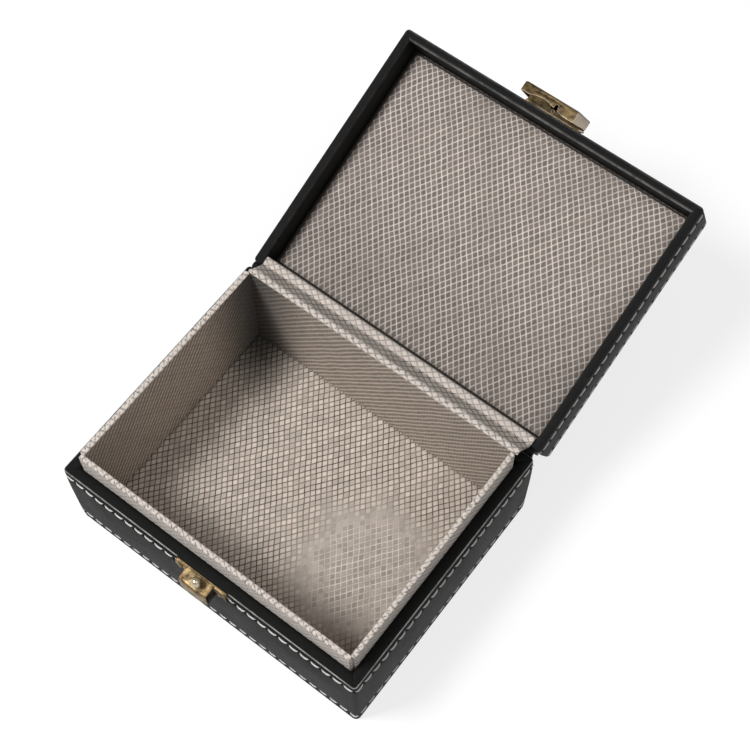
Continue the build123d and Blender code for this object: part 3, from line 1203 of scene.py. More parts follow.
# -------- the sizes that pieces share
@dataclass(frozen=True)
class Sizes:
    """The box's own sizes while it is shut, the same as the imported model's.

    Attributes:
        rim: Height of the base's rim.
        sole: Height of its lower edge.
        corner: Radius of the upright corners.
        ledge: Width of the base's rim.
        lid_rim: Width of the lid's rim.
        leather: Thickness of the leather.
        panel: Thickness of a tray panel.
        pad_face: How far the lid's pad is set in from the lid's rim.
        opening: Degrees that the lid is open at rest.
        latch_x: X of the latch's middle.
    """

    width: float = 130.0
    depth: float = 103.5
    rim: float = 43.0
    sole: float = 0.8
    corner: float = 1.5
    ledge: float = 4.6
    lid_rim: float = 3.6
    lid_base: float = 43.3
    lid_top: float = 67.8
    leather: float = 0.8
    panel: float = 2.0
    tray_top: float = 53.4
    tray_foot: float = 3.2
    pad_face: float = 10.9
    hinge_y: float = 52.95
    hinge_z: float = 43.15
    opening: float = 157.2
    latch_x: float = -0.8

    @property
    def half_x(self) -> float:
        """Half the width."""
        return self.width / 2

    @property
    def half_y(self) -> float:
        """Half the depth."""
        return self.depth / 2

    @property
    def open_lid(self) -> Matrix:
        """Takes a point of the shut lid to its place on the open lid."""
        pivot = Matrix.Translation((0, self.hinge_y, self.hinge_z))
        return pivot @ Matrix.Rotation(math.radians(-self.opening), 4, "X") @ pivot.inverted()

    def opened(self, y: float, z: float) -> Pair:
        """Where a point of the shut lid goes when the lid is open.

        Args:
            y: Its Y in millimetres.
            z: Its Z in millimetres.

        Returns:
            Its new Y and Z.
        """
        place = self.open_lid @ Vector((0, y, z))
        return place.y, place.z


@dataclass
class Finishes:
    """Every finish of the box, built once."""

    by_slot: dict[str, bpy.types.Material] = field(init=False)
    cloth: dict[Weave, bpy.types.Material] = field(init=False)

    def __post_init__(self) -> None:
        """Builds the materials."""
        makers = {
            "shell_leather": Leather(),
            "stitch_thread": Thread(),
            "antique_brass": Brass(
                "antique_brass", (0.245, 0.172, 0.085), (0.052, 0.036, 0.018), 0.92, 0.42
            ),
            "polished_brass": Brass(
                "polished_brass", (0.60, 0.53, 0.38), (0.12, 0.09, 0.05), 0.30, 0.26
            ),
            "grey_board": Board("grey_board", (0.33, 0.29, 0.24), (0.17, 0.15, 0.12)),
            "pad_foam": Board("pad_foam", (0.040, 0.033, 0.028), (0.016, 0.013, 0.011), 0.35),
            "spring_steel": Steel(),
        }
        self.by_slot = {slot: maker.build() for slot, maker in makers.items()}
        folded, inner = (0.76, 0.685, 0.625), (58.4, 45.15)
        # Lit and shaded copies of one cloth: each place's colours paint how light and reflections
        # fall there, with light threads on the lid and dark threads on the floor and hinge.
        cloths = (
            Cloth(
                Weave.LID, (0.205, 0.170, 0.148), (0.50, 0.44, 0.392), (0.80, 0.735, 0.68), folded,
                first=0.88, band_edges=(0.03, 0.37), thread_share=0.8, hinge_shade=0.24,
            ),
            Cloth(
                Weave.FLOOR, (0.62, 0.542, 0.470), (0.44, 0.373, 0.316), (0.060, 0.047, 0.038),
                folded, band_edges=(0.12, 0.38), thread_edges=(0.07, 0.25), thread_share=1.2,
                sheen_patch=(36.0, -8.0), shaded_corners=inner,
            ),
            Cloth(
                Weave.TRAY, (0.250, 0.198, 0.155), (0.72, 0.615, 0.520), (0.80, 0.70, 0.60), folded,
                first=0.12, band_edges=(-0.05, 0.85), thread_share=0.25, shaded_corners=inner,
            ),
            Cloth(
                Weave.HINGE, (0.52, 0.457, 0.407), (0.39, 0.335, 0.292), (0.045, 0.036, 0.030),
                folded, thread_edges=(0.10, 0.27), thread_share=1.3,
            ),
        )
        self.cloth = {cloth.where: cloth.build() for cloth in cloths}
        self.by_slot["shielding_cloth"] = self.cloth[Weave.TRAY]


@dataclass
class Assembly:
    """What every sub-assembly of the box has: the box's sizes and its finishes."""

    sizes: Sizes
    finishes: Finishes

    def piece(
        self,
        draft: Draft,
        name: str,
        body: str,
        slot: str,
        node: str,
        weave: Optional[Weave] = None,
    ) -> bpy.types.Object:
        """Makes a piece and hands it to the frame.

        Args:
            draft: Its shape, as it is on the shut box.
            name: Its name.
            body: The body that it rides on.
            slot: Its material slot.
            node: The node that it stands for.
            weave: Which cloth it is made of, if it is cloth.

        Returns:
            The piece.
        """
        finish = self.finishes.cloth[weave] if weave else self.finishes.by_slot[slot]
        place = None if body == "base" else self.sizes.open_lid
        return settled(draft.object(name, finish, place), body, node)

    def sew(self, shell: Shell, body: str, nodes: Sequence[str]) -> None:
        """Builds a shell's rows of stitches.

        Args:
            shell: The shell.
            body: The body that it rides on.
            nodes: The node that each row stands for.
        """
        for seam, node in zip(shell.seams, nodes):
            threads = seam.draw(shell.outline, shell.thread_line(seam))
            self.piece(threads, node + "_thread", body, "stitch_thread", node)


def heights(stretches: Sequence[tuple[float, float, int]]) -> np.ndarray:
    """Heights of the rings of a wall.

    Args:
        stretches: The first height, the last and the number of rings of each stretch.

    Returns:
        The heights.
    """
    return np.concatenate([np.linspace(*stretch) for stretch in stretches])


# -------- base
@dataclass
class BaseShell(Assembly):
    """The leather shell of the base, with its rim and its two seams.

    Attributes:
        upper: The row of stitches under the rim.
        lower: The row above the underside.
        puff: How far the walls puff out between the rows.
        belly: How far they sag out as a whole.
        fold: How far the leather is turned down inside the rim.
        pinch: Height and depth of the line where the rim is pinched in.
        mitre: Depth and half width of the crease at each corner of the rim.
        plate_half: Half the width of the strike, under which the rim gets neither worn edge nor
            painted highlight.
    """

    upper: Seam = Seam(level=39.0, count=101)
    lower: Seam = Seam(level=4.8, count=101, phase=0.35)
    puff: float = 0.45
    belly: float = 0.75
    fold: float = 18.0
    pinch: Pair = (41.4, 0.32)
    mitre: Pair = (0.16, 0.5)
    plate_half: float = 11.3

    def build(self) -> None:
        """Builds the leather and the stitches."""
        s = self.sizes
        outline = Outline(s.half_x, s.half_y, s.corner)
        flats = (Flat(-1, s.latch_x, 11.4, 38.6, 43.0), Flat(1, 0.0, 64.0, 33.6, 43.0))
        seams = (self.upper, self.lower)
        shell = Shell(outline, seams, s.sole, s.rim, self.puff, flats, self.belly)
        wall = heights(((1.6, 8.0, 17), (9.5, 35.0, 18), (35.8, 41.7, 21)))
        out = shell.out(wall) - self.pinch[1] * hump(wall - self.pinch[0], 0.42)[:, None]
        skin, inner = -s.leather, s.leather - s.ledge - 0.05
        # The third number of each ring marks worn edges with a painted highlight line: the foot's
        # edge lightly, the rim's edge fully.
        foot = [(skin, s.sole, 0), (-0.6, s.sole, 0), (-0.25, 1.0, 0.25)]
        ledge = [
            (-0.12, 42.05, 0), (0.02, 42.35, 0), (0.0, 42.60, 0), (-0.03, 42.70, 0.9),
            (-0.16, 42.89, 1), (-0.26, 42.96, 0.9), (-0.40, 43.02, 0), (-0.95, 43.06, 0),
            (-1.6, 43.10, 0), (-2.4, 43.13, 0), (-3.2, 43.10, 0), (-3.8, 43.0, 0),
            (-4.2, 42.84, 0), (-4.48, 42.55, 0), (-s.ledge, 42.1, 0), (-s.ledge, 40.5, 0),
            (-s.ledge, 34.0, 0), (-s.ledge, s.rim - self.fold, 0), (inner, s.rim - self.fold, 0),
            (inner, 41.9, 0), (-3.7, 42.2, 0), (-1.1, 42.2, 0), (skin, 41.9, 0), (skin, 20.0, 0),
        ]
        rows = [outline.level(o, z) for o, z, _ in foot]
        rows += [outline.level(o, z) for o, z in zip(out, wall)]
        rows += [outline.level(o, z) for o, z, _ in ledge]
        marks = [m for *_, m in foot] + [0.0] * len(wall) + [m for *_, m in ledge]
        for ring, (o, _, _) in zip(rows[len(foot) + len(wall) :], ledge):
            diagonal = (s.half_x - np.abs(ring[:, 0])) - (s.half_y - np.abs(ring[:, 1]))
            ring[:, 2] -= self.mitre[0] * hump(diagonal, self.mitre[1]) * (-4.3 < o < -0.5)
        draft, points, detail = Draft(), np.array(rows), marked(rows, marks)
        # The front rim behind the strike gets neither worn edge nor painted highlight.
        aside = np.abs(points[..., 0] - s.latch_x)
        detail[..., 2] *= (points[..., 1] >= 3.0 - s.half_y) | (aside >= self.plate_half)
        draft.grid(points, True, True, detail)
        self.piece(draft, "base_leather_cover", "base", "shell_leather", "base_leather")
        self.sew(shell, "base", ("base_upper_stitching", "base_lower_stitching"))


@dataclass
class Tray(Assembly):
    """The four cloth-wrapped panels of the tray and the cloth on its floor.

    Attributes:
        edge: Radius of a panel's edges.
        notch: How far the front and back panels stop short of the tray's corners.
        overlap: How far the side panels reach into them.
        bow: How far a panel wanders from its plane.
        ripple: How far its top edge goes up and down.
        left_lean: How far the left panel's inner face leans in at its top.
        cloth: Thickness of the floor's cloth.
    """

    edge: float = 0.62
    notch: float = 1.0
    overlap: float = 0.12
    bow: float = 0.16
    ripple: float = 0.12
    left_lean: float = 0.35
    cloth: float = 0.28

    def panel(self, name: str, low: Pair, high: Pair, along_x: bool, inward: float) -> None:
        """Builds one panel.

        Args:
            name: The side that it stands on.
            low: Least X and Y.
            high: Greatest X and Y.
            along_x: Whether it runs along X.
            inward: Sign of the direction from the panel to the middle of the tray.
        """
        s = self.sizes
        points, faces = soft_box((*low, s.tray_foot), (*high, s.tray_top), self.edge, 2.2)
        run, thick = (0, 1) if along_x else (1, 0)
        middle = (low[thick] + high[thick]) / 2
        across = (points[:, thick] - middle) * inward
        lean = cloudy(points[:, run] * 0.05, points[:, 2] * 0.04, 3.1 * inward + run)
        height = ease((points[:, 2] - 10.0) / 40.0)
        points[:, thick] += lean * self.bow * height
        if name == "left":
            points[:, thick] += self.left_lean * height * (across + 1) / 2
        points[:, 2] += cloudy(points[:, run] * 0.09, 5.0, run * 7.0) * self.ripple * height
        ends = (high[run] - low[run]) / 2 - np.abs(points[:, run])
        folded = np.maximum(ease((-across - 0.5) / 0.4), ease((0.5 - ends) / 0.4)) * 0.96
        folded = np.maximum(ease((points[:, 2] - (s.tray_top - 0.45)) / 0.35), folded)
        rise = (points[:, 2] - across) * (1.1 if name == "back" else 1.0)
        weave = np.column_stack([points[:, run] + across * 0.5, rise, folded])
        draft = Draft()
        draft.add(points, faces, weave)
        names = (f"tray_{name}_wrap", "base", "shielding_cloth", f"tray_{name}_cloth")
        self.piece(draft, *names, Weave.TRAY)

    def floor(self) -> None:
        """Builds the cloth on the tray's floor, slightly uneven and turned up at its edges."""
        s = self.sizes
        x, y = (half - s.ledge - s.panel - 0.05 for half in (s.half_x, s.half_y))
        across, along = np.meshgrid(np.linspace(-x, x, 90), np.linspace(-y, y, 70))
        wave = cloudy(across * 0.03, along * 0.03, 1.7)
        turn_up = ease((np.maximum(np.abs(across) - x, np.abs(along) - y) + 1.2) / 1.2)
        top = 4.2 + wave * 0.12 + turn_up * 0.25
        weave = np.dstack([across, along, np.zeros_like(top)])
        sheet = slab_of(
            np.dstack([across, along, top]), np.dstack([across, along, top - self.cloth]), weave
        )
        names = ("floor_cloth_sheet", "base", "shielding_cloth", "floor_cloth")
        made = self.piece(sheet, *names, Weave.FLOOR)
        2 * x * MM
        2 * y * MM

    def build(self) -> None:
        """Builds the panels and the floor."""
        s = self.sizes
        outer_x, outer_y = s.half_x - s.ledge, s.half_y - s.ledge
        inner_x, inner_y = outer_x - s.panel, outer_y - s.panel
        long_x, short_y = outer_x - self.notch, inner_y + self.overlap
        self.panel("front", (-long_x, -outer_y), (long_x, -inner_y), True, 1)
        self.panel("back", (-long_x, inner_y), (long_x, outer_y), True, -1)
        self.panel("left", (-outer_x, -short_y), (-inner_x, short_y), False, 1)
        self.panel("right", (inner_x, -short_y), (outer_x, short_y), False, -1)
        self.floor()


def slab_of(top: np.ndarray, under: np.ndarray, weave: np.ndarray) -> Draft:
    """Closes two facing sheets of points into one thin solid.

    Args:
        top: Rows by columns by 3.
        under: The same layout, on the other side.
        weave: Flat cloth coordinates of the top.

    Returns:
        The closed draft.
    """
    rows, columns = top.shape[:2]
    size = rows * columns
    faces: list[Face] = []
    for r in range(rows - 1):
        for c in range(columns - 1):
            a, b = r * columns + c, (r + 1) * columns + c
            faces.append((a, a + 1, b + 1, b))
            faces.append((a + size, b + size, b + 1 + size, a + 1 + size))
    border = [*range(columns), *range(2 * columns - 1, size, columns)]
    border += [*range(size - 2, size - columns - 1, -1), *range(size - 2 * columns, 0, -columns)]
    for a, b in zip(border, border[1:] + border[:1]):
        faces.append((a, a + size, b + size, b))
    draft = Draft()
    both = np.concatenate([top.reshape(-1, 3), under.reshape(-1, 3)])
    flat = np.concatenate([weave.reshape(-1, 3)] * 2)
    draft.add(both, faces, flat)
    return draft


# -------- hinge
@dataclass
class Hinge(Assembly):
    """The rolled leather strip and the shielding cloth that cross from the base to the lid.

    Attributes:
        strip: Thickness of the leather strip.
        leaf: How far it reaches down each back wall.
        inset: How far it stops short of the sides.
        tuck: How far its end faces are drawn in.
        hang: How far the cloth sags.
        cloth_thick: Thickness of the cloth.
    """

    strip: float = 1.0
    leaf: float = 9.0
    inset: float = 1.5
    tuck: float = 0.036
    hang: float = 0.10
    cloth_thick: float = 0.30

    def leather(self) -> None:
        """Builds the leather strip, sewn on both back walls and rolled over the hinge line."""
        s = self.sizes
        wall, outer = s.half_y, s.half_y + self.strip
        x = s.half_x - self.inset
        near, far = np.array([wall, s.rim]), np.array(s.opened(wall, s.lid_base))
        middle, radius = (near + far) / 2, np.linalg.norm(far - near) / 2
        start = math.atan2(near[1] - middle[1], near[0] - middle[0])
        turns = np.linspace(start, start - math.pi, 15)
        arch = [middle + radius * 1.12 * np.array([math.cos(a), math.sin(a)]) for a in turns]
        out_near, out_far = np.array([outer, s.rim]), np.array(s.opened(outer, s.lid_base))
        inner_face = np.linspace(self.leaf, 0.6, 15)
        outer_face = np.linspace(self.leaf - 0.25, 0.3, 15)
        edge, past = wall + self.strip * 0.7, self.leaf + 0.12
        path = [(wall, s.rim - z) for z in inner_face] + arch
        path += [s.opened(wall, s.lid_base + z) for z in inner_face[::-1]]
        path += [s.opened(edge, s.lid_base + past)]
        path += [s.opened(outer, s.lid_base + z) for z in outer_face]
        path += [(out_near + out_far) / 2 + np.array([0.0, 0.12])]
        path += [(outer, s.rim - z) for z in outer_face[::-1]]
        path += [(edge, s.rim - past)]
        xs = np.concatenate([[-x, -x + 0.1], np.linspace(-x + 0.6, x - 0.6, 110), [x - 0.1, x]])
        grid = np.array([[(u, p[0], p[1]) for p in path] for u in xs])
        for end in (grid[0], grid[-1]):
            end[:, 1:] += np.sign(end.mean(axis=0)[1:] - end[:, 1:]) * self.tuck
        draft = Draft()
        draft.grid(grid, True, False)
        count, total = len(path), len(xs) * len(path)
        draft.faces += [tuple(range(count)), tuple(range(total - count, total))[::-1]]
        made = draft.object("hinge_leather_strip", self.finishes.by_slot["shell_leather"])
        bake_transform(made)
        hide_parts("hinge_leather")
        log.info("%s bends between base and lid", made.name)

    def cloth(self) -> None:
        """Builds the cloth from the tray's back panel over the lid's rim and down inside it."""
        s = self.sizes
        x = s.half_x - s.lid_rim - 0.35
        inner = s.half_y - s.ledge - s.panel
        rim_in = s.half_y - s.lid_rim - 0.14
        corners = [
            np.array([inner + 0.1, s.tray_top + 0.02]),
            np.array([inner + s.panel + 0.1, s.tray_top + 0.02]),
            np.array(s.opened(s.half_y - 0.4, s.lid_base - 0.55)),
            np.array(s.opened(rim_in, s.lid_base - 0.25)),
            np.array(s.opened(rim_in, s.lid_base + s.pad_face - 0.5)),
        ]
        path = rounded_path(corners, (0.9, 0.7, 0.7), 0.35)
        way, side = way_along(path), sideways(path)
        us = np.linspace(-x, x, 150)
        free = ease((way - 2.0) / 3.0) * ease((13.5 - way) / 3.0)
        drawn_in = 2.8 - 2.4 * ease(way / 17.0)
        woven = np.interp(way, (0.0, 2.0, 13.6, 40.0), (0.0, 2.0, 7.0, 33.4))
        skew = np.interp(way, (2.0, 13.6), (0.0, 2.9))
        ripple = cloudy(us * 0.05, 0.3, 9.0) * 0.30 + cloudy(us * 0.19, 4.0, 2.0) * 0.10
        lift = 0.34 + free * (ripple[:, None] - self.hang)
        top = np.zeros((len(us), len(path), 3))
        top[..., 0] = us[:, None] * (1 - drawn_in / x * (us[:, None] < 0))
        top[..., 1:] = path + side * lift[..., None]
        under = top.copy()
        under[..., 1:] -= side * self.cloth_thick
        folded = 0.95 * ease((4.0 - way) / 2.0)
        folded += 0.45 * ease((way - 13.0) / 1.6) * ease((23.0 - way) / 3.0)
        weave = np.zeros_like(top)
        weave[..., 0], weave[..., 1], weave[..., 2] = woven, us[:, None] + skew, folded
        draft = slab_of(top, under, weave)
        made = draft.object("hinge_cloth_sheet", self.finishes.cloth[Weave.HINGE])
        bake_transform(made)
        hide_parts("hinge_cloth")
        flat = (2 * x * MM, float(way[-1]) * MM)
        area = flat[0] * flat[1] - float(drawn_in.mean()) / 2 * flat[1] * MM
        log.info("%s bends between base and lid", made.name)

    def build(self) -> None:
        """Builds both pieces."""
        self.leather()
        self.cloth()


def rounded_path(corners: Sequence[np.ndarray], radii: Sequence[float], step: float) -> np.ndarray:
    """Rounds the inner corners of a path and spaces its points evenly.

    Args:
        corners: The path's corners in a plane.
        radii: Length cut off each side of every inner corner.
        step: Spacing of the points.

    Returns:
        The path's points.
    """
    pieces = [corners[0]]
    for before, corner, after, cut in zip(corners, corners[1:], corners[2:], radii):
        a = corner + (before - corner) / np.linalg.norm(before - corner) * cut
        b = corner + (after - corner) / np.linalg.norm(after - corner) * cut
        for t in np.linspace(0, 1, 7):
            pieces.append((1 - t) ** 2 * a + 2 * t * (1 - t) * corner + t * t * b)
    pieces.append(corners[-1])
    line = np.array(pieces)
    way = way_along(line)
    even = np.linspace(0, way[-1], int(way[-1] / step) + 1)
    return np.column_stack([np.interp(even, way, line[:, i]) for i in range(2)])


# -------- lid
@dataclass
class Lid(Assembly):
    """The lid's leather shell, its seams and its padded lining."""

    rim_seam: Seam = Seam(level=47.5, count=101, phase=0.2, gap=(-12.6, 11.0))
    top_seam: Seam = Seam(level=63.6, count=101, phase=0.6)
    puff: float = 0.55
    crown: float = 0.7
    edge: float = 1.8
    fold: float = 11.6
    # Strength of the worn edges and their painted highlight: on the front wall, elsewhere.
    rubbed_and_highlit: Pair = (0.50, 0.06)
    pad_clear: float = 0.25
    pad_crown: float = 0.75

    def shell(self) -> None:
        """Builds the leather and the stitches."""
        s = self.sizes
        outline = Outline(s.half_x, s.half_y, s.corner)
        flats = (Flat(-1, s.latch_x, 11.4, 43.0, 61.0), Flat(1, 0.0, 64.0, 43.0, 53.0))
        seams = (self.rim_seam, self.top_seam)
        shell = Shell(outline, seams, s.lid_base, s.lid_top, self.puff, flats)
        top = s.lid_top
        wall = heights(((44.6, 50.0, 17), (51.0, 60.5, 10), (61.2, 65.6, 14)))
        walls = [outline.level(o, z) for o, z in zip(shell.out(wall), wall)]
        bend = [
            outline.level(-self.edge * (1 - math.cos(a)), top - self.edge * (1 - math.sin(a)))
            for a in np.linspace(0, math.pi / 2, 7)
        ]
        inward = (-2.6, -4.0, -6.5, -10.0, -15.0, -22.0, -30.0, -38.0, -45.0, -50.0, -51.5)
        cover = [outline.level(out, top) for out in inward]
        for rows in cover:
            shares = np.abs(rows[:, :2] / (s.half_x, s.half_y)) ** 4
            rows[:, 2] += self.crown * (1 - shares[:, 0]) * (1 - shares[:, 1])
        skin, inside = -s.leather, -s.lid_rim
        under_top = [(out, top - s.leather, 0) for out in (-51.5, -40.0, -20.0, -6.0, -2.4)]
        under_top += [(-1.2, top - 1.2, 0), (skin, top - 2.4, 0)]
        # The third number of each rim ring marks its worn inner edge, with a painted highlight
        # line.
        rim = [
            (skin, 1.6, 0), (skin - 0.3, 0.85, 0), (-2.5, 0.8, 0), (-2.8, 1.2, 0),
            (-2.8, self.fold, 0), (inside, self.fold, 0), (inside, 7.0, 0), (inside, 1.6, 0),
            (-3.58, 0.75, 0.35), (-3.42, 0.35, 1), (-3.1, 0.10, 0.45), (-2.6, -0.02, 0),
            (-1.9, -0.07, 0), (-1.2, -0.05, 0), (-0.6, 0.06, 0.15), (-0.2, 0.3, 0.5),
            (-0.02, 0.62, 0.3), (-0.02, 0.95, 0),
        ]
        inner = under_top + [(out, s.lid_base + rise, mark) for out, rise, mark in rim]
        levels = walls + bend + cover
        rows = levels + [outline.level(out, z) for out, z, _ in inner]
        # The top edge's rounding is worn and carries a faint painted highlight.
        edge_marks = (0.0, 0.05, 0.15, 0.25, 0.15, 0.05, 0.0)
        marks = [0.0] * len(walls) + [*edge_marks] + [0.0] * len(cover) + [m for *_, m in inner]
        detail = marked(rows, marks)
        detail[..., 2] *= np.where(outline.normal[:, 1] < -0.9, *self.rubbed_and_highlit)
        draft = Draft()
        draft.grid(np.array(rows), True, True, detail)
        draft.cap_rows(len(levels) - 1, len(outline.share))
        self.piece(draft, "lid_leather_cover", "lid", "shell_leather", "lid_leather")
        self.sew(shell, "lid", ("lid_rim_stitching", "lid_top_stitching"))

    def pad(self) -> None:
        """Builds the padded lining, crowned and pulled down round its edges."""
        s = self.sizes
        x, y = (half - s.lid_rim - self.pad_clear for half in (s.half_x, s.half_y))
        face = s.lid_base + s.pad_face - 0.1
        back = s.lid_base + s.pad_face + 2.55
        points, faces = soft_box((-x, -y, face), (x, y, back), 1.25, 2.0)
        inset = np.minimum(x - np.abs(points[:, 0]), y - np.abs(points[:, 1]))
        front = ease((back - 0.8 - points[:, 2]) / 1.2)
        crown = ease(inset / 16.0) * self.pad_crown
        sway = cloudy(points[:, 0] * 0.03, points[:, 1] * 0.03, 6.0)
        dip = ease((3.0 - inset) / 3.0) * 0.55
        points[:, 2] += front * (dip - crown - sway * 0.18 * ease(inset / 10.0))
        along = points[:, 1] + (face - points[:, 2]) * 0.9
        weave = np.column_stack([points[:, 0], along, np.zeros(len(points))])
        draft = Draft()
        draft.add(points, faces, weave)
        names = ("lid_pad", "lid", "shielding_cloth", "lid_pad_cloth")
        made = self.piece(draft, *names, Weave.LID)

    def build(self) -> None:
        """Builds the shell and the lining."""
        self.shell()
        self.pad()


# -------- brass
def bent_strip(path: Sequence[Pair], thickness: float, x0: float, x1: float, bend: float) -> Draft:
    """Builds a strip of sheet metal, bent along a path and straight along X.

    Args:
        path: Corners of its middle line as (Y, Z).
        thickness: Thickness of the sheet.
        x0: Least X.
        x1: Greatest X.
        bend: Length cut off each side of every corner.

    Returns:
        The closed strip.
    """
    corners = [np.array(p, float) for p in path]
    line = rounded_path(corners, [bend] * (len(corners) - 2), 0.22)
    side = sideways(line) * thickness / 2
    loop = np.concatenate([line + side, (line - side)[::-1]])
    xs = np.linspace(x0, x1, max(2, int((x1 - x0) / 1.2)))
    grid = np.array([[(u, p[0], p[1]) for p in loop] for u in xs])
    draft = Draft()
    draft.grid(grid, True, False)
    count = len(loop)
    last = (len(xs) - 1) * count
    for i in range(len(line) - 1):
        j = count - 1 - i
        draft.faces.append((i, j, j - 1, i + 1))
        draft.faces.append((last + i, last + i + 1, last + j - 1, last + j))
    return draft


def turned(
    profile: Sequence[Pair],
    foot: Sequence[float],
    axis: Sequence[float],
    sides: int = 32,
    marks: Optional[Sequence[float]] = None,
) -> Draft:
    """Builds a solid of revolution.

    Args:
        profile: Pairs of radius and height along the axis; the first and last radius are 0.
        foot: Point that heights are counted from.
        axis: Direction of the axis.
        sides: Number of sides.
        marks: One mark for each pair of the profile.

    Returns:
        The closed solid.
    """
    marks = [0.0] * len(profile) if marks is None else marks
    up = Vector(axis).normalized()
    one = up.orthogonal().normalized()
    two = up.cross(one)
    base = Vector(foot)
    spokes = [
        one * math.cos(a) + two * math.sin(a)
        for a in np.linspace(0, 2 * math.pi, sides, endpoint=False)
    ]
    rings = [
        [tuple(base + up * height + spoke * radius) for spoke in spokes]
        for radius, height in profile[1:-1]
    ]
    draft = Draft()
    draft.grid(np.array(rings), True, False, marked(rings, marks[1:-1]))
    ends = np.array([tuple(base + up * profile[0][1]), tuple(base + up * profile[-1][1])])
    draft.add(ends, [], np.array([(0, 0, marks[0]), (0, 0, marks[-1])]))
    first, last, top = draft.count - 2, draft.count - 1, (len(rings) - 1) * sides
    for i in range(sides):
        j = (i + 1) % sides
        draft.faces.append((first, j, i))
        draft.faces.append((last, top + i, top + j))
    return draft


def joined(parts: Sequence[Draft]) -> Draft:
    """Puts several closed shapes in one draft.

    Args:
        parts: The shapes.

    Returns:
        The draft that holds them all.
    """
    whole = Draft()
    for part in parts:
        whole.add(np.concatenate(part.points), part.faces, np.concatenate(part.details))
    return whole


def nails(places: Sequence[Place], head: float, length: float, shank: float = 0.45) -> Draft:
    """Builds dome-headed nails, driven into a front wall.

    Args:
        places: Where each head sits on what it holds.
        head: Radius of a head.
        length: Length of a shank.
        shank: Radius of a shank.

    Returns:
        The nails.
    """
    turn = np.linspace(0, math.pi / 2, 7)[:-1]
    dome = [(head * math.cos(a), 0.08 + 0.42 * math.sin(a)) for a in turn]
    point = [(0, -length), (shank * 0.3, -length + 0.1), (shank, -length + 0.6)]
    profile = [*point, (shank, 0), (head, 0), *dome, (0, 0.5)]
    return joined([turned(profile, place, (0, -1, 0), 20) for place in places])


